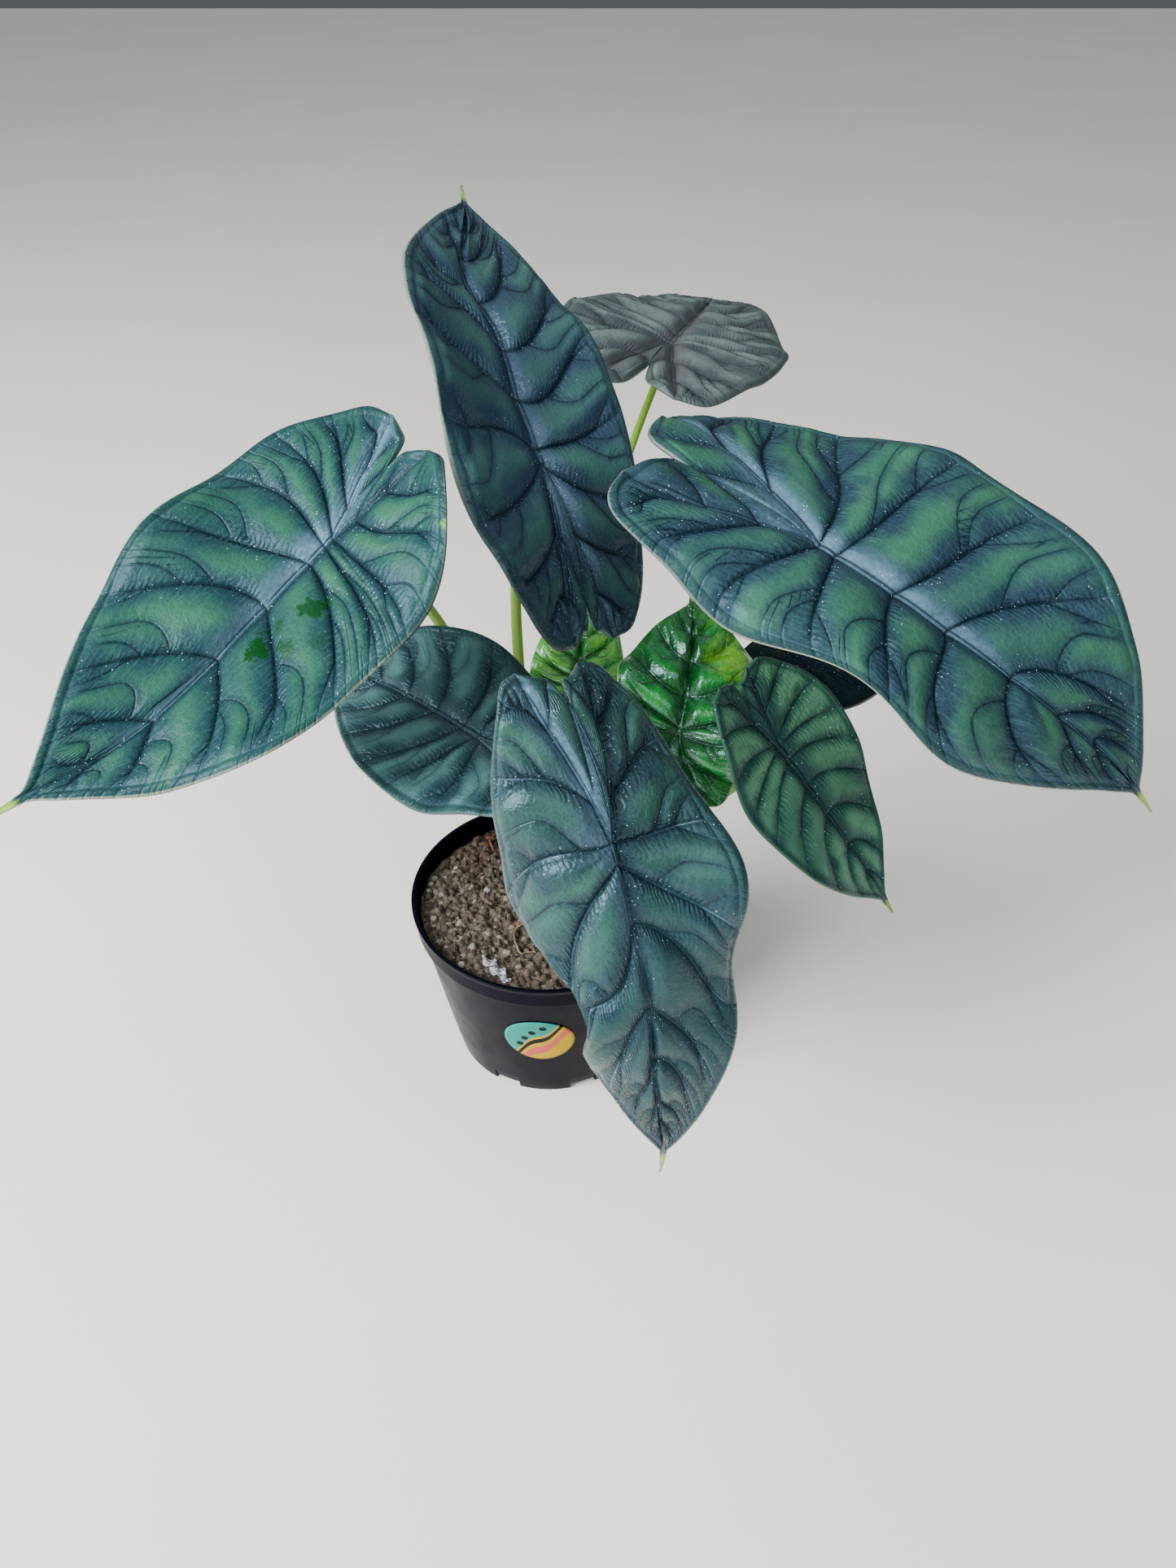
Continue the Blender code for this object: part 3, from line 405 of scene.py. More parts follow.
def soil_finish(name, tones):
    """Crumbs in earth colours: each has its own tone, with dust and grit, and painted shade that darkens it
    toward the back.
    """
    earth = Finish(name, Roughness=0.95, Specular_IOR_Level=0.2)
    tone = earth.mark("tone")[3]
    colour = earth.add("ShaderNodeValToRGB", {0: tone})
    ramp = colour.color_ramp
    while len(ramp.elements) < len(tones):
        ramp.elements.new(0.5)
    for element, (at, shade) in zip(ramp.elements, tones):
        element.position = at
        element.color = (*shade, 1.0)
    grit = earth.noise(900.0, 4.0, rough=0.65)
    shaded = earth.over(colour.outputs[0], GRIT, earth.step(grit, -1.0, 1.0, 0.0, 0.6))
    shaded = earth.over(shaded, DRY_TAN, earth.step(earth.noise(38.0, 2.0), -0.2, 0.9, 0.0, 0.40))
    behind = earth.add("ShaderNodeSeparateXYZ", {0: earth.place()}).outputs[1]
    behind = earth.plus(behind, earth.noise(45.0, 2.0), 0.015)
    # Painted shade: darker toward the back of the pot.
    shaded = earth.over(shaded, BACK_SHADE, earth.step(behind, 0.020, 0.055, 0.0, 0.7))
    dusty = earth.step(earth.noise(260.0, 4.0), 0.1, 0.9, 0.0, 0.6)
    earth.set("Base Color", earth.over(shaded, SOIL_DUST, dusty))
    bits = earth.add("ShaderNodeTexVoronoi", {"Scale": 900.0, "Vector": earth.place()}).outputs["Distance"]
    earth.set("Normal", earth.bump(grit, 0.0005, 0.8, earth.bump(bits, -0.0005, 0.8)))
    return earth.material


EARTH = [(0.0, (0.042, 0.032, 0.025)), (0.3, (0.082, 0.062, 0.049)), (0.62, (0.122, 0.095, 0.075)),
         (0.86, (0.18, 0.146, 0.118)), (0.97, (0.38, 0.34, 0.30))]
mix = soil_finish("potting mix", EARTH)
points, triangles, tones = soil_surface()
add_piece("soil_mix", points, triangles, mix, "soil", "soil", tone=tones)


def ball(rings, columns):
    """A closed round of few faces: rings of points between two poles."""
    down = np.linspace(0, math.pi, rings)
    round_ = np.linspace(0, 2 * math.pi, columns + 1)
    grid = np.stack([np.outer(np.sin(down), np.cos(round_)), np.outer(np.sin(down), np.sin(round_)),
                     np.outer(np.cos(down), np.ones_like(round_))], 2).reshape(-1, 3)
    grid[:columns + 1] = (0, 0, 1)
    grid[-columns - 1:] = (0, 0, -1)
    return weld(grid, grid_triangles(rings, columns + 1))


def scatter(shape, triangles, middles, sizes, chance, roughness, steep):
    """Copies of a shape, each with its own lumps, stretched, turned at random and set down.

    The long way of each leans up or down by no more than the steepness.
    """
    count = len(middles)
    lumps = 1 + roughness * chance.normal(0, 1, (count, len(shape), 1)).clip(-1.6, 1.6)
    spin, lean = chance.uniform(0, 2 * math.pi, (2, count))
    tip = chance.uniform(-steep, steep, count)
    a = np.stack([np.cos(spin) * np.cos(tip), np.sin(spin) * np.cos(tip), np.sin(tip)], 1)
    c = np.stack([np.cos(lean), np.sin(lean), np.zeros(count)], 1)
    b = np.cross(a, c)
    b /= np.linalg.norm(b, axis=1)[:, None]
    turned = np.stack([a, b, np.cross(a, b)], 1)
    copies = np.einsum("cpk,ckj->cpj", shape[None] * lumps * sizes[:, None, :], turned)
    points = (copies + middles[:, None, :]).reshape(-1, 3)
    faces = (triangles[None] + len(shape) * np.arange(count)[:, None, None]).reshape(-1, 3)
    return points, faces


def set_on_soil(places, lift):
    """Flat places drawn in from the wall to within reach, and raised onto the soil."""
    places = np.array(places) * np.minimum(1, SOIL_REACH / np.hypot(*np.transpose(places)))[:, None]
    return np.column_stack([places, soil_height(*places.T) + lift])


def on_soil(chance, count, lift):
    """Places at random on the soil, outside the crown."""
    inside = (CROWN_RADIUS + 0.003) / SOIL_REACH
    spread = SOIL_REACH * np.sqrt(chance.uniform(inside ** 2, 1, count))
    turn = chance.uniform(0, 2 * math.pi, count)
    return set_on_soil(np.stack([spread * np.cos(turn), spread * np.sin(turn)], 1), lift)


def strew(chance, name, finish, grain, places, rings=5, columns=8, roughness=0.28, steep=math.pi,
          darker=1.0):
    """Balls of the given grain set down at the places, each with its own tone: chance ** darker."""
    shape, faces = ball(rings, columns)
    points, triangles = scatter(shape, faces, places, grain, chance, roughness, steep)
    add_piece(name, points, triangles, finish, "soil",
              tone=np.repeat(chance.uniform(0, 1, len(places)) ** darker, len(shape)))


chance = np.random.default_rng(23)
LOOSE = 620
grain = chance.uniform(0.0007, 0.0019, (LOOSE, 1)) * chance.uniform(0.75, 1.3, (LOOSE, 3))
strew(chance, "soil_crumbs", mix, grain, on_soil(chance, LOOSE, 0.0006), darker=0.8)

STRAWS = 330
straw = soil_finish("dry straw", [(0.0, (0.14, 0.10, 0.07)), (0.4, (0.24, 0.19, 0.14)),
                                  (0.75, (0.36, 0.31, 0.24)), (1.0, (0.60, 0.56, 0.48))])
grain = np.stack([chance.uniform(0.0015, 0.0048, STRAWS), *chance.uniform(0.00012, 0.00034, (2, STRAWS))], 1)
strew(chance, "soil_straws", straw, grain, on_soil(chance, STRAWS, 0.0012), rings=4, columns=5,
      roughness=0.15, steep=0.25)

PUMICE = ((-0.0609, 0.029), (-0.0768, 0.013), (-0.0735, 0.0191), (-0.0762, 0.006), (-0.070, -0.019),
          (-0.0441, -0.043), (-0.060, -0.044), (-0.050, -0.058), (0.036, 0.055), (0.058, 0.018),
          (-0.0392, 0.008), (0.012, 0.066), (-0.022, 0.061))
pumice = soil_finish("pumice", [(0.0, (0.36, 0.29, 0.24)), (0.5, (0.46, 0.42, 0.37)),
                                (0.8, (0.55, 0.52, 0.46)), (1.0, (0.62, 0.60, 0.55))])
grain = chance.uniform(0.0016, 0.0030, (len(PUMICE), 1)) * chance.uniform(0.8, 1.2, (len(PUMICE), 3))
strew(chance, "soil_pumice", pumice, grain, set_on_soil(PUMICE, 0.0012), rings=7, columns=10, roughness=0.12)

CHIPS = ((-0.048, 0.0575), (-0.0444, 0.0535), (-0.0368, 0.0635), (-0.042, 0.060), (-0.030, 0.060),
         (-0.039, 0.052), (-0.0163, -0.0235), (0.040, -0.050), (0.062, 0.030), (0.020, 0.070))
bark = soil_finish("bark chips", [(0.0, (0.10, 0.035, 0.018)), (0.4, (0.20, 0.075, 0.035)),
                                  (0.8, (0.30, 0.13, 0.07)), (1.0, (0.36, 0.19, 0.12))])
grain = chance.uniform(0.8, 1.2, (len(CHIPS), 3)) * (0.0050, 0.0020, 0.0009)
strew(chance, "soil_bark_chips", bark, grain, set_on_soil(CHIPS, 0.0018), rings=7, roughness=0.12, steep=0.4)

FLAKE_START = np.array((-0.0376, -0.0520))
FLAKE_END = np.array((-0.0202, -0.0726))
FLAKE_HALF = 0.0033
FLAKE_LIFT = 0.0028
FLAKE_THICKNESS = 0.0005


def flake_surface():
    """A crumpled sheet along a line: height is a sum of two crossing waves, ends drawn to a point."""
    u, v = np.meshgrid(np.linspace(0, 1, 33), np.linspace(-1, 1, 15), indexing="ij")
    along = FLAKE_END - FLAKE_START
    beside = np.array((-along[1], along[0])) / np.linalg.norm(along)
    half = FLAKE_HALF * np.sin(math.pi * (0.04 + 0.92 * u)) ** 0.6 * (1 + 0.25 * np.sin(19 * u + 2 * v))
    flat = FLAKE_START + along * u[..., None] + beside * (half * v)[..., None]
    crumple = 0.0008 * np.sin(17 * u + 3.1 * v) + 0.0005 * np.sin(41 * u - 5.0 * v + 1.0)
    top = np.dstack([flat, soil_height(flat[..., 0], flat[..., 1]) + FLAKE_LIFT + crumple])
    grid = np.hstack([top, (top - (0, 0, FLAKE_THICKNESS))[:, ::-1], top[:, :1]])
    grid = np.concatenate([grid[:1] * 0 + grid[0].mean(0), grid, grid[:1] * 0 + grid[-1].mean(0)])
    return weld(grid.reshape(-1, 3), grid_triangles(*grid.shape[:2]))


papery = Finish("papery flake", Roughness=0.7, Specular_IOR_Level=0.4)
veil = papery.noise(420.0, 4.0, rough=0.6)
papery.set("Base Color", papery.over((0.15, 0.15, 0.19), (0.50, 0.51, 0.58), papery.step(veil, -0.5, 0.5)))
papery.set("Normal", papery.bump(veil, 0.0006, 0.8))
points, triangles = flake_surface()
add_piece("soil_flake", points, triangles, papery.material, "soil", sharp=60)


def smooth_curve(points, at):
    """A Catmull-Rom curve through the points, read at their numbers: 0 is the first point."""
    points = np.array(points, float)
    at = np.clip(np.asarray(at, float), 0, len(points) - 1 - 1e-9)
    padded = np.vstack([2 * points[0] - points[1], points, 2 * points[-1] - points[-2]])
    k = at.astype(int)
    t = (at - k)[..., None]
    p0, p1, p2, p3 = (padded[k + step] for step in range(4))
    return 0.5 * (2 * p1 + (p2 - p0) * t + (2 * p0 - 5 * p1 + 4 * p2 - p3) * t ** 2
                  + (3 * p1 - p0 - 3 * p2 + p3) * t ** 3)


def tube_surface(path, radius, sides, *marks):
    """A round section of the given radii carried along the path and closed at both ends.

    Marks have a row for each point of the grid: path and both ends, times sides and one more.
    """
    tangent = np.gradient(path, axis=0)
    tangent /= np.linalg.norm(tangent, axis=1)[:, None]
    aside = np.cross(tangent, (0.0, 1.0, 0.15))
    aside /= np.linalg.norm(aside, axis=1)[:, None]
    ahead = np.cross(tangent, aside)
    turn = np.linspace(0, 2 * math.pi, sides + 1)
    tube = (path[:, None] + aside[:, None] * (radius * np.cos(turn))[..., None]
            + ahead[:, None] * (radius * np.sin(turn))[..., None])
    caps = [np.repeat(path[k][None, None], sides + 1, 1) for k in (0, -1)]
    points = np.concatenate([caps[0], tube, caps[1]]).reshape(-1, 3)
    return weld(points, grid_triangles(len(path) + 2, sides + 1)[:, ::-1], *marks)


ROOTS = (((-0.0124, -0.0205), (-0.0161, -0.0250), (-0.0190, -0.0290), (-0.0198, -0.0331),
          (-0.0179, -0.0418), (-0.0152, -0.0484), (-0.0113, -0.0465), (-0.0060, -0.0455)),
         ((0.050, 0.020), (0.056, 0.026), (0.055, 0.034), (0.049, 0.038), (0.047, 0.045)))
ROOT_RADIUS = 0.00062
ROOT_POINTS = 60
dead = soil_finish("dead root", [(0.0, (0.26, 0.18, 0.10)), (0.3, (0.34, 0.25, 0.15)),
                                 (0.7, (0.40, 0.31, 0.19)), (1.0, (0.46, 0.37, 0.24))])
for number, bends in enumerate(ROOTS):
    way = smooth_curve(bends, np.linspace(0, len(bends) - 1, ROOT_POINTS))
    lift = 0.0012 + 0.0014 * np.sin(math.pi * np.linspace(0, 1, ROOT_POINTS))
    path = np.column_stack([way, soil_height(*way.T) + lift])
    radius = ROOT_RADIUS * (1 + 0.12 * np.sin(0.9 * np.arange(ROOT_POINTS)))[:, None]
    points, triangles = tube_surface(path, radius, 9)
    add_piece(f"soil_root_{number}", points, triangles, dead, "soil", tone=np.linspace(0, 1, len(points)))

# THE CROWN. The plant's short stem, corky and brown, ringed with the scars of old leaves and
# wrapped in their dry brown sheaths. It stands in the soil, and the stalks stand in it.
CROWN_RISE = 0.010
CROWN_DEPTH = 0.020


def crown_surface():
    """A turned profile with a lip at each scar, and a low top that dips round the stalks."""
    base, top = SOIL_LEVEL - CROWN_DEPTH, SOIL_LEVEL + CROWN_RISE
    heights = np.linspace(base + 0.003, top - 0.001, 40)
    scars = 0.0007 * np.abs(np.sin((heights - SOIL_LEVEL) * math.pi / 0.0034)) ** 3
    shoulder = 0.004 * np.clip((heights - top + 0.003) / 0.003, 0, 1) ** 2
    profile = np.array([(0, base), (CROWN_RADIUS - 0.002, base),
                        *zip(CROWN_RADIUS - 0.0002 - scars - shoulder, heights),
                        *zip(np.linspace(CROWN_RADIUS - 0.006, 0, 8), np.full(8, top) + 0.0006)])
    turn = np.linspace(0, 2 * math.pi, 121)
    ripple = 1 + 0.02 * np.sin(9 * turn) * np.clip((profile[:, 1:] - base) / 0.01, 0, 1)
    r = profile[:, :1] * ripple
    points = np.stack([r * np.cos(turn), r * np.sin(turn), profile[:, 1:] + 0 * turn], 2).reshape(-1, 3)
    return weld(points, grid_triangles(len(profile), len(turn))[:, ::-1])


cork = Finish("corky stem", Roughness=0.85, Specular_IOR_Level=0.25)
fibre = cork.noise(220.0, 5.0, rough=0.6)
cork.set("Base Color", cork.over((0.06, 0.034, 0.018), (0.24, 0.16, 0.085), cork.step(fibre, -0.8, 0.9)))
cork.set("Normal", cork.bump(fibre, 0.0006, 0.7))
points, triangles = crown_surface()
add_piece("crown_stem", points, triangles, cork.material, "crown_bark", "crown")

# THE LEAVES. Each blade grows on a stalk that meets it inside its edge, so two lobes point back.
# The blade is thick and leathery, sunken along its midrib, its two ribs and its side veins, and
# swollen between them. Each is described by its joint, its way of facing, its outline and its bend.
BLADE_THICKNESS = 0.0009
RIB_HEIGHT = 0.0013
QUILT = 0.0009
# The depth and the width of each groove or rib, for a leaf of the standard length.
BRANCH_GROOVE = (0.0003, 0.0011)
SIDE_GROOVE = (0.0003, 0.0013)
MIDRIB_GROOVE = (0.0015, 0.0046)
MIDRIB_KEEL = (0.0004, 0.0011)
EDGE_GROOVE = (0.0004, 0.0009)
RIB_UNDER_VEIN = (0.0005, 0.0011)
FLANGE = 0.0048
FLANGE_RISE = 0.0006
LUMPS = (0.0006, 0.018)
STANDARD_LENGTH = 0.19
VEIN_BOW = 0.06
CREASE = 0.9
LEAST_ARCH = 1e-4
FAR = 0.02
# Rows 1 to 9 of a half are its side veins. Row 0 is its rear lobe's end, row 3 meets the joint, and
# rows 10 to 12 run out along the drip tip. Places on the spine go from the lobe's end at 0 to the
# joint at 1, the blade's tip at 2 and the end of the drip tip at 3. A vein bows near the spine by
# the first row of its bows and near the margin by the second.
VEIN = tuple(range(13))
ON_SPINE = (0.33, 0.66, 1.0, 1.02, 1.10, 1.25, 1.43, 1.62, 1.80)
ON_MARGIN = (0.85, 1.7, 2.6, 3.4, 4.1, 4.9, 5.7, 6.6, 7.5)
ON_INNER = (4.0, 2.3, 1.0, 0.0)
BOWS = ((0.0, -0.1, -0.15, -0.1, -0.12, -0.15, -0.2, -0.2, -0.2),
        (0.0, -0.1, -0.15, -0.05, -0.05, -0.1, -0.15, -0.2, -0.2))
SPINE_ENDS = (0.0, 2.0, 2.5, 3.0)
MARGIN_ENDS = (0.0, 9.0, 10.0, 11.0)
LOBE_VEINS = 3
TIP_VEIN = 10
# Where each branch vein starts, how far it reaches over the pane, how wide it is and if it runs back.
BRANCHES = ((0.36, 0.56, 0.34, True), (0.60, 0.30, 0.26, True), (0.66, 0.24, 0.30, False))
LATTICE = 64
# Angles are in degrees. A pair of widths, lobes, folds or arches is for the left and the right half.
LEAVES = {
    "right": dict(
        joint=(0.122, -0.085, 0.400), heading=57, pitch=-18, roll=15, bulge=0.09,
        length=0.195, tip=0.024, widths=(0.083, 0.056), lobes=(0.106, 0.081), sinus=0.064,
        spread=0.64, fullness=1.00, droop=24, hang=4, sweep=-45, twist=-51, fold=(29, -8),
        arch=(5, 82), wave_left=(0.001, -0.003, 0.000, 0.002),
        wave_right=(-0.004, 0.026, -0.004, 0.001),
        on_spine=(0.5, 0.72, 1.0, 1.04, 1.19, 1.33, 1.51, 1.66, 1.81),
        on_margin=((1.25, 1.91, 2.46, 3.63, 4.63, 5.55, 6.67, 7.05, 7.38),
                   (1.1, 1.79, 2.62, 3.51, 4.19, 5.01, 6.33, 6.9, 7.5)),
        bows=(((-0.2, -0.29, 0.13, 0.04, 0.09, -0.06, -0.22, -0.29, -0.5),
               (0.0, -0.14, -0.02, -0.03, -0.0, -0.03, -0.13, -0.45, -0.5)),
              ((-0.26, -0.04, -0.06, -0.04, -0.04, -0.18, -0.34, -0.16, -0.19),
               (-0.13, -0.2, -0.18, -0.09, -0.01, -0.31, -0.36, -0.21, -0.25))),
        stands_at=126, stalk=0.0040, middle=(0.078, 0.036, 0.262)),
    "left": dict(
        joint=(-0.090, -0.051, 0.386), heading=-48, pitch=-34, roll=4, bulge=0.09,
        length=0.173, tip=0.018, widths=(0.067, 0.068), lobes=(0.056, 0.063), sinus=0.042,
        spread=0.27, fullness=1.11, droop=-21, hang=-1, sweep=6, twist=24, fold=(7, 16),
        arch=(9, 0), wave_left=(-0.008, -0.005, -0.001, 0.002),
        wave_right=(0.000, 0.006, -0.002, -0.003),
        on_spine=(0.51, 0.79, 1.0, 1.03, 1.09, 1.25, 1.43, 1.65, 1.8),
        on_margin=((1.48, 2.2, 3.33, 3.74, 4.3, 5.07, 5.78, 6.58, 7.37),
                   (0.75, 1.47, 2.25, 3.15, 4.08, 5.15, 6.18, 6.88, 7.48)),
        bows=(((0.03, 0.07, -0.12, -0.19, -0.16, 0.01, -0.06, -0.03, 0.07),
               (-0.02, -0.12, -0.16, -0.27, -0.07, -0.03, -0.1, -0.03, 0.04)),
              ((-0.35, -0.17, -0.43, -0.41, 0.06, -0.2, -0.15, -0.08, 0.09),
               (-0.1, -0.14, -0.29, -0.28, 0.06, -0.08, -0.14, -0.12, 0.01))),
        midrib=(0.0012, -0.0002, -0.0036, -0.0037),
        stands_at=257, stalk=0.0040, middle=(-0.047, 0.024, 0.276)),
    "upper": dict(
        joint=(0.002, 0.028, 0.387), heading=210, pitch=45, roll=-5, bulge=0.09, puff=1.25, quilt=1.6,
        length=0.189, tip=0.032, widths=(0.061, 0.056), lobes=(0.094, 0.095), sinus=0.074,
        spread=0.22, fullness=1.05, droop=31, hang=19, sweep=29, twist=8, fold=(4, -2),
        arch=(-36, 1), wave_left=(-0.005, 0.007, -0.003, 0.002),
        wave_right=(-0.001, 0.007, 0.001, -0.001),
        on_spine=(0.35, 0.64, 1.0, 1.04, 1.19, 1.35, 1.51, 1.68, 1.85),
        on_margin=((1.02, 1.77, 2.42, 3.39, 4.37, 5.31, 5.96, 6.83, 7.27),
                   (0.9, 1.71, 2.27, 3.39, 4.37, 5.24, 6.58, 7.02, 7.58)),
        bows=(((0.14, -0.17, -0.19, 0.27, 0.27, 0.33, -0.03, -0.04, -0.41),
               (0.07, -0.15, -0.13, 0.08, 0.25, 0.21, -0.33, -0.02, -0.03)),
              ((0.02, -0.1, -0.14, -0.12, -0.18, -0.2, -0.27, -0.5, -0.5),
               (0.01, -0.03, -0.01, -0.06, 0.08, -0.0, -0.14, -0.5, -0.32))),
        midrib=(-0.0010, 0.0000, -0.0108, -0.0032),
        stands_at=205, stalk=0.0040, middle=(-0.015, 0.038, 0.276)),
    "front": dict(
        joint=(0.036, -0.163, 0.302), heading=26, pitch=-60, roll=23, bulge=0.09, puff=1.15, quilt=1.9,
        length=0.194, tip=0.034, widths=(0.047, 0.047), lobes=(0.078, 0.082), sinus=0.061,
        spread=0.41, fullness=1.22, droop=33, hang=22, sweep=-25, twist=-40, fold=(14, -20),
        arch=(-8, 75), wave_left=(0.008, 0.008, -0.004, 0.003),
        wave_right=(-0.016, -0.001, 0.006, -0.003),
        on_spine=(0.42, 0.8, 1.0, 1.05, 1.2, 1.42, 1.59, 1.72, 1.83),
        on_margin=((1.26, 2.19, 3.0, 4.17, 5.08, 6.14, 6.7, 7.08, 7.6),
                   (0.99, 1.92, 3.44, 4.38, 5.05, 6.29, 6.75, 7.33, 7.83)),
        bows=(((0.01, -0.17, -0.0, 0.04, -0.13, -0.13, -0.37, -0.09, -0.2),
               (-0.06, -0.18, -0.04, 0.01, 0.08, -0.16, -0.31, -0.33, -0.24)),
              ((-0.22, -0.19, -0.24, -0.05, 0.3, -0.19, 0.07, 0.08, 0.18),
               (-0.06, -0.1, -0.27, 0.27, 0.0, -0.18, -0.15, -0.07, -0.03))),
        midrib=(-0.0007, -0.0007, 0.0018, 0.0017),
        stands_at=2, stalk=0.0038, middle=(0.012, -0.070, 0.222)),
    "small_right": dict(
        joint=(0.114, -0.088, 0.298), heading=68, pitch=-49, roll=-8, bulge=0.09,
        length=0.108, tip=0.012, widths=(0.042, 0.042), lobes=(0.037, 0.043), sinus=0.028,
        spread=0.30, fullness=1.08, droop=12, hang=-6, sweep=-9, twist=-5, fold=(10, 3),
        arch=(-6, 3), wave_left=(0.003, 0.003, 0.000, -0.001),
        wave_right=(-0.002, -0.004, 0.000, 0.000),
        stands_at=45, stalk=0.0033, middle=(0.067, -0.025, 0.194)),
    "back": dict(
        joint=(0.080, 0.260, 0.370), heading=161, pitch=-2, roll=-10, bulge=0.08, puff=1.2, quilt=2.0,
        length=0.197, tip=0.012, widths=(0.075, 0.075), lobes=(0.098, 0.083), sinus=0.051,
        spread=0.36, fullness=0.87, droop=15, hang=5, sweep=-8, twist=8, fold=(6, 4),
        arch=(12, 8), wave_left=(0.005, 0.002, 0.001, -0.002),
        wave_right=(0.003, -0.005, -0.001, 0.003),
        stands_at=166, stalk=0.0040, middle=(0.024, 0.120, 0.262)),
    "lower_left": dict(
        joint=(-0.027, -0.074, 0.291), heading=-133, pitch=2, roll=4, bulge=0.09,
        length=0.139, tip=0.012, widths=(0.051, 0.051), lobes=(0.069, 0.070), sinus=0.043,
        spread=0.37, fullness=0.90, droop=26, hang=-9, sweep=9, twist=24, fold=(5, 17),
        arch=(18, 9), wave_left=(-0.004, 0.001, -0.001, 0.001),
        wave_right=(-0.012, -0.006, -0.003, 0.000),
        stands_at=309, stalk=0.0035, middle=(-0.018, -0.045, 0.215)),
    "dark": dict(
        joint=(0.154, 0.058, 0.247), heading=128, pitch=2, roll=12, bulge=0.09,
        length=0.105, tip=0.012, widths=(0.046, 0.046), lobes=(0.050, 0.050), sinus=0.035,
        spread=0.42, fullness=0.98, droop=30, hang=5, sweep=0, twist=0, fold=(8, 0),
        arch=(15, 25), wave_left=(0.002, 0.001, 0.000, 0.000),
        wave_right=(-0.002, 0.001, 0.000, 0.000),
        stands_at=87, stalk=0.0033, middle=(0.092, 0.020, 0.192)),
    "bright": dict(
        joint=(0.071, -0.049, 0.275), heading=158, pitch=49, roll=8, bulge=0.14, puff=1.7, quilt=3.0,
        length=0.078, tip=0.012, widths=(0.035, 0.034), lobes=(0.038, 0.034), sinus=0.023,
        spread=0.52, fullness=1.24, droop=31, hang=18, sweep=-30, twist=-13, fold=(24, -5),
        arch=(8, 17), wave_left=(0.001, 0.005, -0.001, -0.003),
        wave_right=(0.003, 0.009, 0.003, -0.003),
        on_spine=(0.30, 0.70, 1.0, 1.04, 1.26, 1.50, 1.72, 1.86, 1.93),
        on_margin=((1.0, 2.1, 3.2, 4.0, 5.2, 6.2, 7.1, 7.6, 7.8),
                   (0.9, 1.9, 3.0, 3.8, 4.9, 6.0, 6.9, 7.5, 7.8)),
        stands_at=90, stalk=0.0026, middle=(0.036, -0.016, 0.198)),
    "bright_small": dict(
        joint=(0.018, 0.035, 0.244), heading=172, pitch=42, roll=0, bulge=0.16, puff=1.6, quilt=4.0,
        length=0.078, tip=0.009, widths=(0.028, 0.027), lobes=(0.035, 0.034), sinus=0.022,
        spread=0.45, fullness=0.95, droop=30, hang=-10, sweep=0, twist=0, fold=(14, 14),
        arch=(20, 20), wave_left=(0.001, 0.001, 0.000, 0.000),
        wave_right=(0.001, -0.001, 0.000, 0.000),
        stands_at=270, stalk=0.0022, middle=(0.002, 0.010, 0.185)),
}


def half_outline(leaf, side):
    """Points of one half: the rib of its rear lobe, its outer margin and its inner margin."""
    width, lobe = leaf["widths"][side], leaf["lobes"][side]
    length, full, sinus = leaf["length"], leaf["fullness"], leaf["sinus"]
    end = leaf["spread"] * width
    rib = [(0.93 * end, -0.92 * lobe), (0.74 * end, -0.74 * lobe), (0.34 * end, -0.36 * lobe), (0, 0)]
    outer = [
        (end, -lobe), (min(end + 0.30 * width, 0.90 * width), -0.93 * lobe),
        (0.88 * width, -0.52 * lobe), (width, 0.02 * length), (0.97 * width, 0.25 * length),
        (0.82 * full * width, 0.50 * length), (0.52 * full * width, 0.72 * length),
        (0.20 * full * width, 0.90 * length), (0.03 * width + 0.0015, 0.985 * length),
        (0.0018, length + 0.003), (0.0012, length + 0.5 * leaf["tip"]), (0.0005, length + leaf["tip"])]
    inner = [(0, -sinus), (0.16 * end, -0.62 * lobe - 0.38 * sinus), (0.50 * end, -0.94 * lobe),
             (end, -lobe)]
    return rib, outer, inner


def spine_point(leaf, side, rib, at):
    """The spine: a lobe's rib up to the joint at 1, the midrib to 2 and the drip tip to 3."""
    forward = np.interp(at, (1, 2, 3), (0, leaf["length"], leaf["length"] + leaf["tip"]))
    shifts = np.array((0, *leaf.get("midrib", ()), 0))[:, None]
    aside = smooth_curve(shifts, np.clip(at - 1, 0, 1) * (len(shifts) - 1))[..., 0]
    midrib = np.stack([aside if side else -aside, forward], -1)
    return np.where((at < 1)[..., None], smooth_curve(rib, 3 * np.clip(at, 0, 1)), midrib)


def margin_point(leaf, margin, at):
    """The inner margin from the joint at 0, along the middle line to the notch at 1, and on."""
    middle = np.stack([np.zeros_like(at), -np.clip(at, 0, 1) * leaf["sinus"]], -1)
    return np.where((at < 1)[..., None], middle, smooth_curve(margin, at - 1))


def vein_places(leaf, side):
    """Where the veins from 0 to the last row of the drip tip lie on the spine and the margin."""
    spine = leaf.get("on_spine", ON_SPINE)
    margin = leaf["on_margin"][side] if "on_margin" in leaf else ON_MARGIN
    return ((SPINE_ENDS[0], *spine, *SPINE_ENDS[1:]), (MARGIN_ENDS[0], *margin, *MARGIN_ENDS[1:]))


def bowed(leaf, side, v, q):
    """Where a point at v and at q of the way out lies among the chords: a cubic curve of q."""
    near, far = (np.interp(v, VEIN[:TIP_VEIN + 1], (0, *bow, 0))
                 for bow in leaf.get("bows", (BOWS, BOWS))[side])
    return v + 13.5 * q * (q - 1) * (near * (q - 2 / 3) - far * (q - 1 / 3))


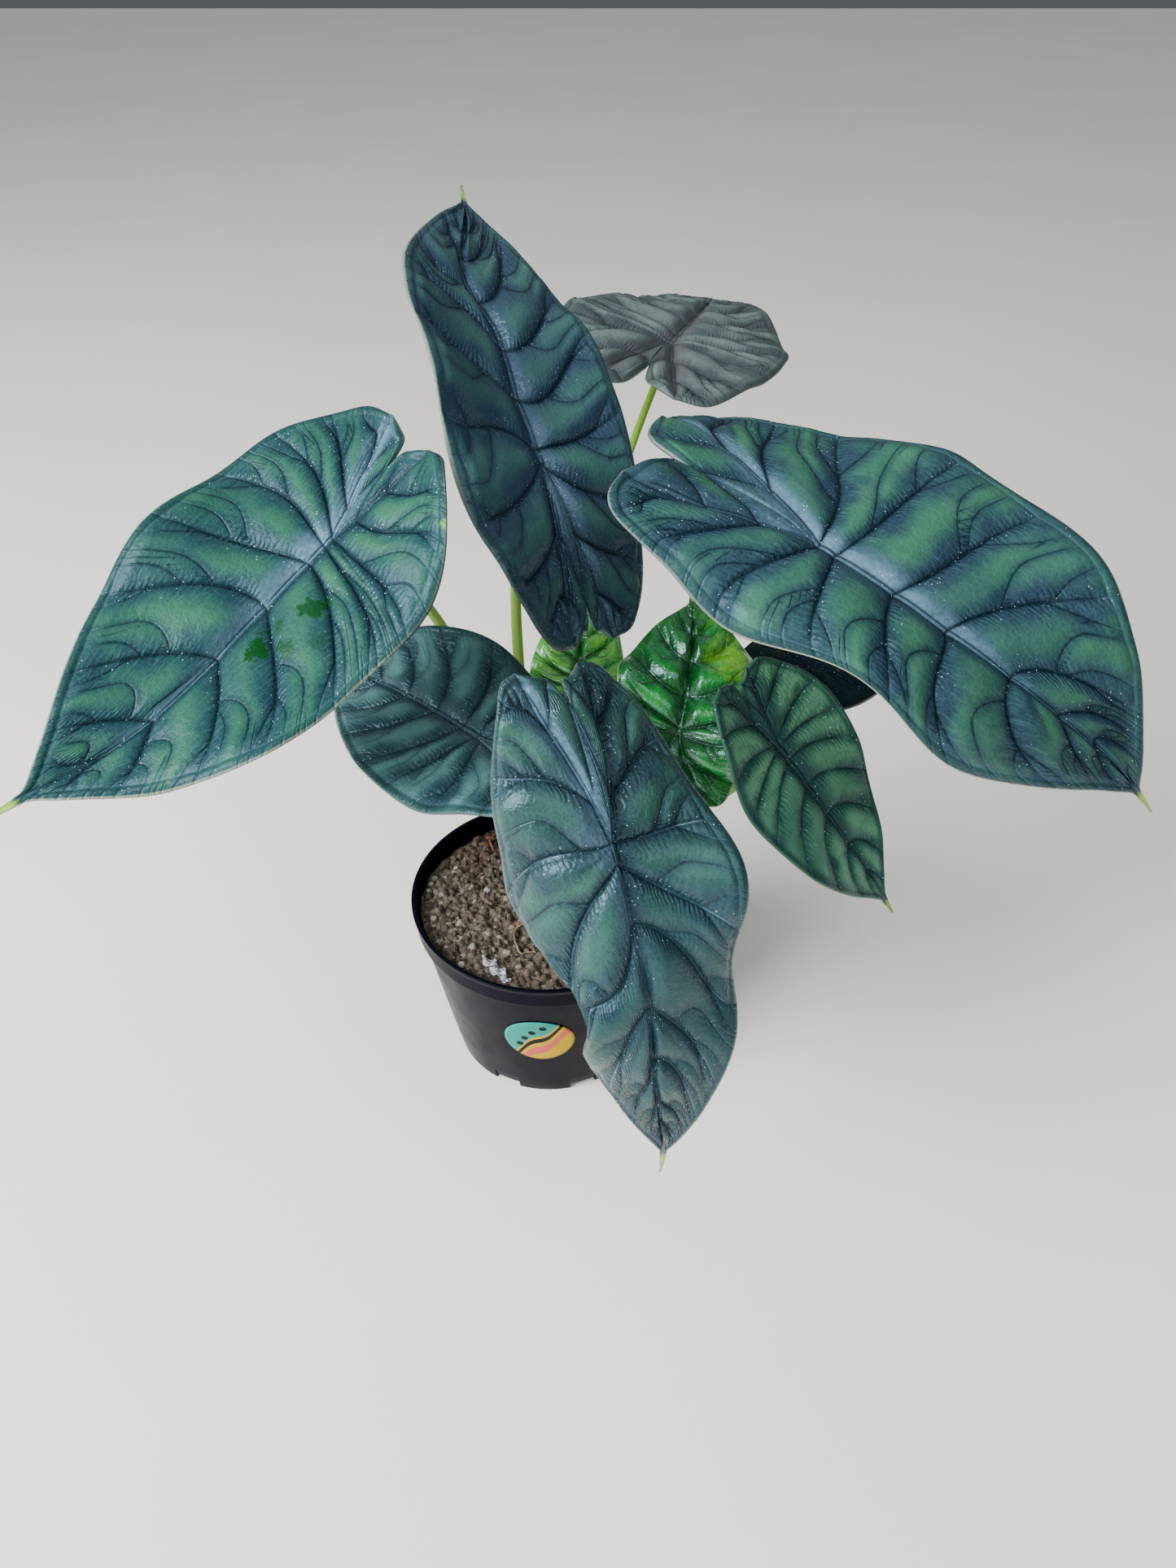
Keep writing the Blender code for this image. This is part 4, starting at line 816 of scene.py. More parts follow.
def value_noise(x, y, size, seed):
    """Smooth noise from -1 to 1: random numbers at the corners of a lattice, eased between them."""
    lattice = np.random.default_rng(seed).uniform(-1, 1, (LATTICE, LATTICE))
    x, y = x / size + 17.3, y / size + 11.7
    i, j = np.floor(x).astype(int), np.floor(y).astype(int)
    s, t = x - i, y - j
    s, t = s * s * (3 - 2 * s), t * t * (3 - 2 * t)
    low, high = (lattice[i % LATTICE, row % LATTICE] * (1 - s) + lattice[(i + 1) % LATTICE, row % LATTICE] * s
                 for row in (j, j + 1))
    return low * (1 - t) + high * t


def branch_veins(v, q, pane, chord, seed):
    """Signed distance to the nearest branch vein in a pane, in metres.

    A branch leaves side vein k + 1 at q0 and bows back over the pane, then runs out to the edge:
    its way across the pane is 1 - reach * ease((q - q0) / width). Smaller ones leave vein k.
    """
    k = np.clip(np.floor(v), 0, TIP_VEIN - 1).astype(int)
    s = v - k
    draws = np.random.default_rng(seed).uniform(-1, 1, (4, 3, TIP_VEIN))
    nearest = np.full(v.shape, FAR)
    for branch, (start, reach, width, back) in enumerate(BRANCHES):
        q0 = start + 0.10 * draws[branch, 0, k]
        across = reach + 0.08 * draws[branch, 1, k]
        t = np.clip((q - q0) / width, 0, 1)
        ease = t * (2 - t)
        slope = np.where((t > 0) & (t < 1), across * (2 - 2 * t) / width, 0)
        line = 1 - across * ease if back else across * ease
        gap = (s - line) * pane / np.sqrt(1 + (slope * pane / np.maximum(chord, 0.004)) ** 2)
        nearest = np.where(np.abs(gap) < np.abs(nearest), gap, nearest)
    return nearest


def bell_curve(distance, width):
    """exp(-(distance / width)^2): the section of a groove or a rib."""
    return np.exp(-(distance / width) ** 2)


def half_blade(leaf, side, rows, across, outside, seed):
    """Flat points of a half's outer or inner patch, their heights, and the marks of the finish.

    Rows run along the veins of the patch, from the spine to the margin. Between two veins the
    blade swells by a share of their distance, as sine of the way from one vein to the next. Side
    veins, branch veins, the midrib and the vein inside the edge are grooves, each a bell curve.
    All of it flattens toward the tip. The strip between the rear ribs, from the joint to the
    notch, has no edge in its middle.
    """
    rib, outer, inner = half_outline(leaf, side)
    on_spine, on_margin = vein_places(leaf, side)

    def spine(v):
        return spine_point(leaf, side, rib, np.interp(v, VEIN, on_spine))

    def margin(v):
        if outside:
            return smooth_curve(outer, np.interp(v, VEIN, on_margin))
        return margin_point(leaf, inner, np.interp(v, VEIN[:4], ON_INNER))

    v, q = np.meshgrid(rows, across, indexing="ij")
    on_chord = bowed(leaf, side, v, q) if outside else v
    start, end = spine(on_chord), margin(on_chord)
    chord = np.linalg.norm(end - start, axis=-1)
    flat = start + (end - start) * q[..., None]
    if outside:
        bow = VEIN_BOW * np.interp(v, (0, 1, 3, 5, 9, TIP_VEIN), (0, -0.6, 0, 1, 1, 0))
        flat[..., 1] -= bow * chord * 4 * q * (1 - q)
    over, along = np.gradient(flat, rows, axis=0), np.gradient(flat, across, axis=1)
    pane = np.abs(over[..., 0] * along[..., 1] - over[..., 1] * along[..., 0])
    pane /= np.maximum(np.linalg.norm(along, axis=-1), 1e-6)
    swell = np.abs(np.sin(np.pi * np.clip(v, 0, TIP_VEIN))) ** CREASE
    edge = np.clip(q / 0.2, 0, 1) ** 0.7 * np.clip((1 - q) / 0.14, 0, 1) ** 0.7
    flatter = np.interp(v, (6.5, 9.5), (1.0, 0.5))
    height = flatter * leaf.get("puff", 1.0) * leaf["bulge"] * pane * swell * edge

    nearest = np.abs(v - np.clip(np.round(v), 1, 9)) * pane
    from_rib = 0.85 * q * chord
    strip = np.zeros(v.shape) if outside else np.clip((v - 1.9) / 0.4, 0, 1)
    from_edge = (1 - q) * chord + 0.03 * strip
    size = leaf["length"] / STANDARD_LENGTH
    branch = branch_veins(v, q, pane, chord, seed + 7 * side) if outside else np.full(v.shape, FAR)
    out = np.clip(from_edge / 0.008, 0, 1) * np.clip(from_rib / 0.006, 0, 1)
    quilt = QUILT * leaf.get("quilt", 1.0)
    height += quilt * size * out * np.clip(np.abs(branch) / 0.006, 0, 1) ** 0.8
    height -= BRANCH_GROOVE[0] * size * bell_curve(branch, BRANCH_GROOVE[1]) * out
    height -= SIDE_GROOVE[0] * size * bell_curve(nearest, SIDE_GROOVE[1]) * np.clip(from_edge / 0.01, 0, 1)
    tip_fade = np.clip((TIP_VEIN - v) / 0.6, 0, 1)
    for sign, (depth, width) in ((-1, MIDRIB_GROOVE), (1, MIDRIB_KEEL)):
        height += sign * (flatter * depth * size * bell_curve(from_rib, width * size) * tip_fade)
    flange = FLANGE * size
    height += FLANGE_RISE * size * np.sin(np.pi * np.clip(from_edge / flange, 0, 1)) * tip_fade
    height -= EDGE_GROOVE[0] * size * bell_curve(from_edge - flange, EDGE_GROOVE[1]) * tip_fade
    mirrored = flat[..., 0] * (1 if side else -1)
    height += LUMPS[0] * size * value_noise(mirrored, flat[..., 1], LUMPS[1], seed + 5)
    toward_tip = np.clip(np.interp(v, VEIN, on_spine) - 1, 0, 1)
    rib_under = RIB_HEIGHT * (1 - 0.8 * toward_tip) * np.clip(1 - q / 0.12, 0, 1)
    rib_under = rib_under + (RIB_UNDER_VEIN[0] * size * bell_curve(nearest, RIB_UNDER_VEIN[1]) * (1 - q)
                             * tip_fade)
    veins = np.stack([nearest, from_rib, q * chord], -1).reshape(-1, 3) * 1000
    net = np.stack([branch, np.abs(branch), pane], -1).reshape(-1, 3) * 1000
    drip = np.clip(v - TIP_VEIN, 0, 2) / 2 - strip
    rim = np.stack([from_edge * 1000, drip, np.full(v.shape, side)], -1).reshape(-1, 3)
    return (flat[..., 0].ravel(), flat[..., 1].ravel(), height.ravel(), rib_under.ravel(), veins, net,
            rim, v.reshape(-1, 1))


def leaf_axes(leaf):
    """Directions of a leaf at its joint: toward the tip, to its right and off its upper face."""
    heading, pitch, roll = (math.radians(leaf[key]) for key in ("heading", "pitch", "roll"))
    forward = np.array((math.sin(heading) * math.cos(pitch), -math.cos(heading) * math.cos(pitch),
                        math.sin(pitch)))
    right = np.cross(forward, (0, 0, 1))
    right /= np.linalg.norm(right)
    right = right * math.cos(roll) + np.cross(right, forward) * math.sin(roll)
    return forward, right, np.cross(right, forward)


def bend(leaf, a, b, h):
    """Flat points to places in the room.

    The midrib turns evenly: down by droop and sideways by sweep from joint to tip, and its rear
    lobes hang. Across it each half starts at its fold and turns down by its arch. A twist that
    grows toward the tip and a long and a short wave of the margin are added.
    """
    forward, right, up = leaf_axes(leaf)
    length, lobe = leaf["length"], max(leaf["lobes"])
    along = np.linspace(-1.3 * lobe, 1.2 * length, 240)
    down = np.radians(np.where(along > 0, leaf["droop"] * along / length, leaf["hang"] * along / lobe))
    aside = np.radians(np.where(along > 0, leaf["sweep"] * along / length, 0))[:, None]
    ahead = np.cos(aside) * forward + np.sin(aside) * right
    beside = np.cos(aside) * right - np.sin(aside) * forward
    tangent = np.cos(down)[:, None] * ahead - np.sin(down)[:, None] * up
    normal = np.cross(beside, tangent)
    steps = 0.5 * (tangent[1:] + tangent[:-1]) * np.diff(along)[:, None]
    midrib = np.vstack([np.zeros(3), np.cumsum(steps, axis=0)])

    def read(values):
        return np.stack([np.interp(b, along, column) for column in values.T], -1)

    midrib -= [np.interp(0, along, column) for column in midrib.T]
    half = max(leaf["widths"])
    fold, arch = (np.radians(np.where(a > 0, leaf[key][1], leaf[key][0])) for key in ("fold", "arch"))
    bent = np.where(arch == 0, LEAST_ARCH, arch) / half
    slope = fold - bent * np.abs(a)
    wave = np.where(a > 0, np.transpose([leaf["wave_right"]]), np.transpose([leaf["wave_left"]]))
    turn = 2 * np.pi * 1.1 * b / length
    swing = (wave[0] * np.cos(turn) + wave[1] * np.sin(turn)
             + wave[2] * np.cos(2 * turn) + wave[3] * np.sin(2 * turn))
    swing *= np.clip(np.abs(a) / half, 0, 1.2) ** 1.8 * np.clip((1 - b / length) / 0.25, 0, 1)
    x = ((np.sin(fold) - np.sin(slope)) / bent - h * np.sin(slope)) * np.sign(a)
    z = (np.cos(slope) - np.cos(fold)) / bent + h * np.cos(slope) + swing
    twist = np.radians(leaf["twist"]) * b / length
    x, z = x * np.cos(twist) - z * np.sin(twist), x * np.sin(twist) + z * np.cos(twist)
    return np.array(leaf["joint"]) + read(midrib) + read(beside) * x[:, None] + read(normal) * z[:, None]


def eased(count, pinch):
    """Numbers from 0 to 1, closer together at both ends: t - pinch * sin(2 pi t)."""
    t = np.linspace(0, 1, count + 1)
    return t - pinch * np.sin(2 * np.pi * t)


def blade_surface(leaf, cells, columns, seed):
    """A closed blade: upper face, under face and rim, from two halves of two patches each."""
    one = eased(cells, 0.08)[:-1]
    rows = np.concatenate([*(k + one for k in range(TIP_VEIN)), np.linspace(TIP_VEIN, 12, 9)])
    across = eased(columns, 0.09)
    flat, faces, marks, triangles = [], [[], []], [[], [], [], []], []
    for side in (0, 1):
        for outside in (True, False):
            part = rows if outside else rows[rows <= LOBE_VEINS + 1e-9][::-1]
            a, b, height, rib, *kept = half_blade(leaf, side, part, across, outside, seed)
            a = a if side else -a
            patch = grid_triangles(len(part), len(across))
            triangles.append((patch if side else patch[:, ::-1]) + sum(map(len, flat)))
            flat.append(np.stack([a, b], 1))
            faces[0].append(bend(leaf, a, b, height))
            faces[1].append(bend(leaf, a, b, height - BLADE_THICKNESS - rib))
            for group, values in zip(marks, kept):
                group.append(values)
    _, triangles, top, bottom, *marks = weld(*map(np.vstack, (flat, triangles, *faces, *marks)))
    upper = np.repeat([0.0, 1.0], len(top))
    return (*close_sheet(top, bottom, triangles), upper, *(np.tile(mark, (2, 1)) for mark in marks))


def close_sheet(top, bottom, triangles):
    """A closed solid from an upper and a lower face with the same triangles."""
    edges = np.vstack([triangles[:, [0, 1]], triangles[:, [1, 2]], triangles[:, [2, 0]]])
    _, where, times = np.unique(np.sort(edges, axis=1), axis=0, return_inverse=True, return_counts=True)
    start, end = edges[times[where.ravel()] == 1].T
    low = len(top)
    rim = np.vstack([np.stack([end, start, start + low], 1), np.stack([end, start + low, end + low], 1)])
    return np.vstack([top, bottom]), np.vstack([triangles, triangles[:, ::-1] + low, rim])


COAT_ROUGHNESS = 0.16
SKY_TINT = (0.52, 0.80, 1.0, 1.0)
DUST = (0.62, 0.80, 0.92)


class Skin(Finish):
    """The leathery skin of a blade, made in layers from the marks on its points.

    The marks are distances in millimetres to the nearest side vein, the midrib, the edge and the
    nearest branch vein, the width of the pane, and the row from joint to tip.
    """

    def __init__(self, name, look):
        """Reads the marks, and makes the noises and the fine strokes that several layers share."""
        super().__init__(name, Roughness=look["rough"], Specular_IOR_Level=look["shine"],
                         Coat_Weight=look["coat"], Coat_Roughness=COAT_ROUGHNESS, Specular_Tint=SKY_TINT)
        self.look = look
        self.side, self.from_rib, self.along, _ = self.mark("veins")
        self.branch, self.branch_far, self.pane, _ = self.mark("net")
        self.edge, self.drip, half, _ = self.mark("rim")
        self.under, self.row = self.mark("under")[3], self.mark("row")[3]
        self.cloud, self.fine = self.noise(55.0, 3.0), self.noise(420.0, 4.0)
        wavy = self.plus(self.along, self.noise(130.0, 1.0), 1.2)
        brush = self.add("ShaderNodeCombineXYZ", {0: self.times(wavy, 0.85), 1: self.times(self.row, 2.6)})
        self.strokes = self.noise(1.0, 4.0, brush.outputs[0], 0.65)
        self.wrinkle = self.add("ShaderNodeTexVoronoi", {"Scale": 330.0, "Vector": self.place()},
                                feature="DISTANCE_TO_EDGE").outputs["Distance"]
        # The share of painted sheen on each half, from the look's lit pair.
        self.lit = self.ramp(half, 0.0, 1.0, *look["lit"])
        self.toward_edge = self.step(self.edge, 5.0, 12.0)
        self.thin = self.times(self.bell(self.branch, 0.42),
                               self.step(self.branch_far, 3.0, 2.0, 0.0, look["branch"]))

        share = self.maths("DIVIDE", self.side, self.most(self.times(self.pane, 0.5), 3.0))
        uneven = self.plus(self.plus(share, self.strokes, 0.12), self.cloud, 0.30)
        self.green = self.times(
            self.step(uneven, *look["band"]),
            self.step(self.plus(self.from_rib, self.cloud, 2.0), 2.0, 14.0),
            self.step(self.plus(self.edge, self.cloud, 2.0), -1.0, 7.0),
            self.step(self.branch_far, -1.5, 4.0, 1.0 - look["branch"], 1.0),
            self.step(self.noise(24.0, 1.0), -1.2, 0.6, 0.45, 1.0))

    def panes(self):
        """Green where a pane swells and blue-grey along its veins, under clouds and fine strokes."""
        look = self.look
        colour = self.over(look["along_veins"], look["pane"], self.green)
        colour = self.over(colour, look["cloud"], self.step(self.cloud, -1.0, 1.0, 0.0, 0.30))
        fringe = self.plus(0.25 * look["brush"], self.bell(self.side, 7.0), 0.75 * look["brush"])
        for way, most, tint in ((1.0, 0.16, look["midrib"]), (-1.0, 0.17, look["vein"])):
            colour = self.over(colour, tint, self.step(self.strokes, 0.0, way, 0.0, most), fringe)
        return colour

    def sheen(self, colour):
        """Painted sheen: blue-grey along the midrib, narrower and fainter toward the tip, and more on the lit
        half.
        """
        spread = self.step(self.row, 10.0, 4.5, 2.5, 6.5)
        away = self.maths("DIVIDE", self.plus(self.from_rib, self.cloud, 2.0), spread)
        return self.over(colour, self.look["midrib"], self.bell(away, 1.0),
                         self.step(self.row, 10.0, 4.0, 0.25, 1.0), self.step(self.fine, -1.5, 1.0, 0.5, 1.0),
                         self.lit)

    def veins(self, colour):
        """Dark feathered lines on side veins, the midrib's groove and branches, some with a pale core: the
        veins' own dark colour with painted shade of their sunken valleys, and painted shade on the midrib's
        flank that has less sheen.
        """
        look = self.look
        # Vein lines: the veins' own dark colour, widened by painted shade of their sunken valleys.
        feathered = self.plus(self.side, self.strokes, 1.3 * look["brush"])
        line = self.maths("ADD", self.times(self.bell(self.side, 0.45), 0.55),
                          self.times(self.bell(feathered, 1.7), 0.26), clamp=True)
        line = self.times(line, self.step(self.pane, 2.0, 16.0, 0.3 * look["ink"], look["ink"]))
        # A dark line each side of the midrib's cord, partly painted shade of the crease there.
        groove = self.times(self.bell(self.maths("ADD", self.from_rib, -1.3), 0.6), 0.9)
        # Painted shade on the midrib's flank, deeper on the half with less painted sheen.
        shaded = self.times(self.bell(self.maths("ADD", self.from_rib, -3.0), 3.5),
                            self.maths("SUBTRACT", 0.6, self.lit))
        colour = self.over(colour, look["vein"], self.most(line, self.most(groove, shaded)),
                           self.step(self.row, 11.5, 8.0, 0.45, 1.0), self.toward_edge)
        colour = self.over(colour, look["midrib"], self.bell(self.side, 0.35),
                           self.step(self.from_rib, 5.0, 22.0, 0.0, look["core"]), self.toward_edge)
        beside = self.times(self.bell(self.plus(self.branch_far, self.strokes, 0.8), 1.8),
                            0.2 * look["branch"])
        return self.over(colour, look["vein"], self.plus(beside, self.thin, 0.6), self.toward_edge)

    def margin(self, colour):
        """The flange, the vein inside it with pale ends of the side veins, and the notch's strip."""
        look = self.look
        ends = self.times(self.most(self.bell(self.side, 0.5), self.thin), self.step(self.edge, 3.8, 4.6),
                          self.maths("SUBTRACT", 1.0, self.toward_edge))
        pale = self.most(ends, self.bell(self.maths("ADD", self.edge, -4.7), 0.35))
        colour = self.over(colour, look["flange"], self.step(self.edge, 5.2, 3.4, 0.0, 0.4))
        colour = self.over(colour, look["midrib"], pale, 0.12)
        slate = self.over(look["along_veins"], look["midrib"], self.step(self.fine, -1.0, 1.0, 0.15, 0.35))
        return self.over(colour, slate, self.step(self.drip, -0.2, -0.9),
                         self.step(self.from_rib, 0.5, 2.0), 0.75)

    def dust(self, colour):
        """A net of pale wrinkles, rubbed or tinted patches, patches of painted shade on some leaves, and lone
        specks that gather by the veins.
        """
        look = self.look
        upper_face = self.step(self.under, 0.5, 0.4)
        colour = self.over(colour, look["midrib"], self.step(self.wrinkle, 0.10, 0.0), 0.045)
        speck = self.add("ShaderNodeTexVoronoi", {"Scale": 820.0, "Vector": self.place()}).outputs
        chosen = self.add("ShaderNodeSeparateColor", {0: speck["Color"]}).outputs[0]
        by_veins = self.times(self.maths("ADD", self.bell(self.side, 5.0), self.bell(self.from_rib, 6.0)),
                              0.6)
        specks = self.times(self.maths("GREATER_THAN", chosen, look["specks"]),
                            self.step(speck["Distance"], 0.23, 0.13),
                            self.step(self.plus(by_veins, self.noise(90.0, 1.0), 0.4), 0.30, 0.50),
                            upper_face, 0.8)
        ragged = self.noise(190.0, 4.0, rough=0.6)
        # Patches are the leaf's own tints, except the front leaf's, which are painted shade.
        for middle, radius, soft, tint, strength in look["patches"]:
            away = self.add("ShaderNodeVectorMath", {0: self.place(), 1: middle}, operation="DISTANCE")
            away = self.plus(away.outputs["Value"], ragged, 1.1 * soft * radius)
            colour = self.over(colour, tint, self.step(away, radius, radius * soft), strength, upper_face)
        return self.over(colour, DUST, specks)

    def ends(self, colour):
        """The pale drip tip, the worn rim of the edge, and the paler face underneath."""
        look = self.look
        colour = self.over(colour, look["drip"], self.step(self.drip, 0.0, 0.35))
        worn = self.times(self.step(self.row, 2.8, 4.2, 0.3, 1.0), look["edge_share"])
        colour = self.over(colour, look["edge"], self.step(self.edge, 0.9, 0.25), worn)
        below = self.over(look["under"], look["under_vein"], self.bell(self.side, 1.2), 0.5)
        below = self.over(below, look["along_veins"], self.step(self.edge, 1.6, 0.8),
                          self.step(self.row, 4.2, 2.8))
        return self.over(colour, below, self.step(self.under, 0.5, 0.8))

    def relief(self):
        """Pleats as a sine of the way along the side veins, sunken veins, wrinkles and a grain."""
        look = self.look
        jitter = self.plus(self.along, self.noise(110.0, 2.0), 1.3)
        pleat = self.maths("SINE", self.times(jitter, 2 * math.pi / look["pleat"]))
        depth = self.times(self.step(self.side, 8.5, 1.0), self.step(self.side, 0.1, 1.2),
                           self.step(self.edge, 2.0, 9.0),
                           self.ramp(self.noise(70.0, 1.0), -1.0, 1.0, 0.25, 1.0))
        folds = self.bump(self.times(pleat, depth), look["pleat_height"], 1.0)
        sunk = self.most(self.bell(self.side, 0.6), self.times(self.thin, 0.8))
        folds = self.bump(sunk, -0.0004, 0.8, folds)
        folds = self.bump(self.step(self.wrinkle, 0.0, 0.25), look["wrinkle"], 0.8, folds)
        return self.bump(self.fine, look["wrinkle"] * 1.3, 0.8, folds)


def blade_finish(name, look):
    """The skin's layers one over the other, from the panes to the ends, and its relief."""
    skin = Skin(name, look)
    colour = skin.panes()
    for layer in (skin.sheen, skin.veins, skin.margin, skin.dust, skin.ends):
        colour = layer(colour)
    skin.set("Base Color", colour)
    uneven = skin.plus(skin.noise(700.0, 2.0), skin.green, 0.7)
    skin.set("Roughness", skin.ramp(uneven, -1.0, 1.7, look["rough"] - 0.06, look["rough"] + 0.14))
    skin.set("Normal", skin.relief())
    return skin.material


# In a look, midrib is the pale blue-grey of the painted sheen along the midrib, also used for pale strokes,
# vein cores and wrinkles. Lit is the share of that painted sheen on the left and the right half.
# Each patch has its middle, its radius, how far in it is full, its colour and its strength.
OLD = dict(
    rough=0.34, shine=0.17, coat=0.0, band=(0.10, 1.0), pane=(0.035, 0.130, 0.068), ink=1.0,
    along_veins=(0.012, 0.029, 0.047), cloud=(0.018, 0.066, 0.060), midrib=(0.140, 0.260, 0.370),
    lit=(0.5, 0.5), vein=(0.0, 0.004, 0.009), core=0.0, flange=(0.012, 0.042, 0.036), brush=0.8,
    branch=1.0, specks=0.85, drip=(0.30, 0.50, 0.06), edge=(0.28, 0.33, 0.24), edge_share=0.6,
    under=(0.30, 0.33, 0.24), under_vein=(0.10, 0.06, 0.05),
    pleat=2.6, pleat_height=0.00016, wrinkle=0.00006, patches=())
RUBBED = (0.002, 0.038, 0.004)
LOOKS = {
    "right": dict(
        OLD, lit=(0.85, 0.15), edge=(0.46, 0.45, 0.33), edge_share=0.8),
    "left": dict(
        OLD, pane=(0.024, 0.106, 0.054), along_veins=(0.009, 0.035, 0.043), cloud=(0.015, 0.062, 0.050),
        lit=(0.05, 0.85), pleat_height=0.00011, patches=(
            ((-0.119, -0.097, 0.355), 0.0060, 0.8, RUBBED, 1.0),
            ((-0.109, -0.088, 0.362), 0.0048, 0.5, RUBBED, 0.7),
            ((-0.106, -0.099, 0.358), 0.0056, 0.5, RUBBED, 0.75),
            ((-0.095, -0.085, 0.368), 0.0070, 0.7, RUBBED, 0.9),
            ((-0.090, -0.100, 0.362), 0.0062, 0.3, RUBBED, 0.45),
            ((-0.0345, -0.0785, 0.406), 0.0034, 0.3, (0.16, 0.40, 0.04), 0.6))),
    "upper": dict(
        OLD, rough=0.27, shine=0.40, pane=(0.038, 0.116, 0.092), along_veins=(0.015, 0.034, 0.062),
        cloud=(0.020, 0.056, 0.066), midrib=(0.095, 0.155, 0.250), lit=(0.15, 0.60), wrinkle=0.00008),
    "front": dict(
        OLD, rough=0.22, shine=0.28, pane=(0.030, 0.094, 0.066), ink=0.7,
        along_veins=(0.011, 0.027, 0.035), cloud=(0.016, 0.049, 0.045), lit=(0.0, 0.7), core=0.6,
        brush=0.5, edge=(0.11, 0.17, 0.15), pleat_height=0.00018, wrinkle=0.00008, patches=(
            # The front leaf's two patches are painted shade over its lower and right parts.
            ((0.0650, -0.1900, 0.2150), 0.0850, 0.2, (0.014, 0.043, 0.054), 0.5),
            ((0.0760, -0.1720, 0.2670), 0.0500, 0.2, (0.014, 0.043, 0.054), 0.35))),
    "small_right": dict(
        OLD, band=(0.0, 0.9), pane=(0.105, 0.290, 0.160), ink=0.35, along_veins=(0.010, 0.047, 0.042),
        cloud=(0.022, 0.098, 0.064), midrib=(0.09, 0.15, 0.17), lit=(0.25, 0.2), branch=0.2,
        edge=(0.07, 0.15, 0.08)),
    "back": dict(
        OLD, rough=0.38, shine=0.30, pane=(0.165, 0.230, 0.210), along_veins=(0.042, 0.054, 0.058),
        cloud=(0.080, 0.112, 0.108), midrib=(0.160, 0.155, 0.165), vein=(0.022, 0.025, 0.028),
        flange=(0.045, 0.070, 0.064), specks=0.985, edge=(0.10, 0.14, 0.12)),
    "lower_left": dict(
        OLD, rough=0.28, shine=0.3, pane=(0.080, 0.205, 0.200), ink=0.65,
        along_veins=(0.011, 0.036, 0.048), cloud=(0.028, 0.074, 0.084), midrib=(0.110, 0.190, 0.240),
        branch=0.5, edge=(0.10, 0.15, 0.12)),
    # The dark leaf's near-black colours are painted shade: it lies in shadow under the right leaf.
    "dark": dict(
        OLD, shine=0.08, pane=(0.007, 0.024, 0.021), along_veins=(0.003, 0.009, 0.011),
        cloud=(0.003, 0.008, 0.010), midrib=(0.015, 0.025, 0.04), flange=(0.002, 0.006, 0.006)),
    "bright": dict(
        OLD, rough=0.22, shine=1.0, coat=0.35, band=(0.0, 0.7), pane=(0.006, 0.290, 0.022), ink=0.6,
        along_veins=(0.0, 0.065, 0.006), cloud=(0.002, 0.150, 0.010), midrib=(0.05, 0.26, 0.03),
        lit=(0.1, 0.1), vein=(0.001, 0.026, 0.004), flange=(0.010, 0.16, 0.006), brush=0.15,
        specks=0.995, drip=(0.45, 0.55, 0.20), edge=(0.35, 0.55, 0.15), under=(0.22, 0.40, 0.10),
        under_vein=(0.16, 0.32, 0.08), pleat_height=0.00005, wrinkle=0.00009, patches=(
            ((0.101, -0.020, 0.300), 0.0200, 0.2, (0.16, 0.42, 0.004), 0.85),
            ((0.090, 0.004, 0.304), 0.0140, 0.2, (0.05, 0.30, 0.006), 0.7))),
    # The small bright leaf is lime new growth, painted lighter still: painted light for the highlights it
    # shows, though it lies in the upper leaf's shade.
    "bright_small": dict(
        OLD, rough=0.22, shine=1.0, coat=0.7, band=(0.0, 0.7), pane=(0.360, 0.880, 0.060),
        along_veins=(0.020, 0.280, 0.030), cloud=(0.180, 0.640, 0.050), midrib=(0.12, 0.35, 0.03),
        lit=(0.1, 0.1), vein=(0.004, 0.055, 0.004), flange=(0.04, 0.24, 0.006), brush=0.15, specks=0.998,
        drip=(0.45, 0.55, 0.20), edge=(0.35, 0.55, 0.15), under=(0.25, 0.42, 0.10),
        under_vein=(0.18, 0.34, 0.08), pleat_height=0.00004, wrinkle=0.00009),
}
FINENESS = {"right": (17, 52), "left": (17, 48), "upper": (17, 48), "front": (17, 50), "back": (12, 40),
            "lower_left": (14, 44), "small_right": (14, 44), "bright": (14, 44), "dark": (10, 30),
            "bright_small": (12, 36)}
for number, (name, leaf) in enumerate(LEAVES.items()):
    cells, columns = FINENESS[name]
    points, triangles, under, veins, net, rim, row = blade_surface(leaf, cells, columns, 100 + 31 * number)
    add_piece(f"blade_{name}", points, triangles, blade_finish(f"blade {name}", LOOKS[name]),
              f"{name}_leaf", f"leaf_{name}_blade", under=under, veins=veins, net=net, rim=rim,
              row=row.ravel())

# THE STALKS. Fleshy round stalks, pale green with fine lengthwise streaks. Each stands in the
# crown, bows out and up, and meets its blade at the joint.
STALK_RING = 0.0142
YOUNG_RING = 0.0050
STALK_DEPTH = 0.009
STRAIGHT = 0.004
NECK = 0.004
FOOT_GREEN = (0.095, 0.200, 0.018)
NECK_GREEN = (0.165, 0.320, 0.026)
STREAK_GREEN = (0.065, 0.165, 0.012)


def stalk_end(name, leaf):
    """The joint, moved down onto the top of the solid stalk."""
    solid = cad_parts[f"leaf_{name}_stalk"].data.vertices
    places = np.empty(3 * len(solid), np.float32)
    solid.foreach_get("co", places)
    joint, up = np.array(leaf["joint"]), leaf_axes(leaf)[2]
    return joint + up * ((places.reshape(-1, 3) - joint) @ up).max()


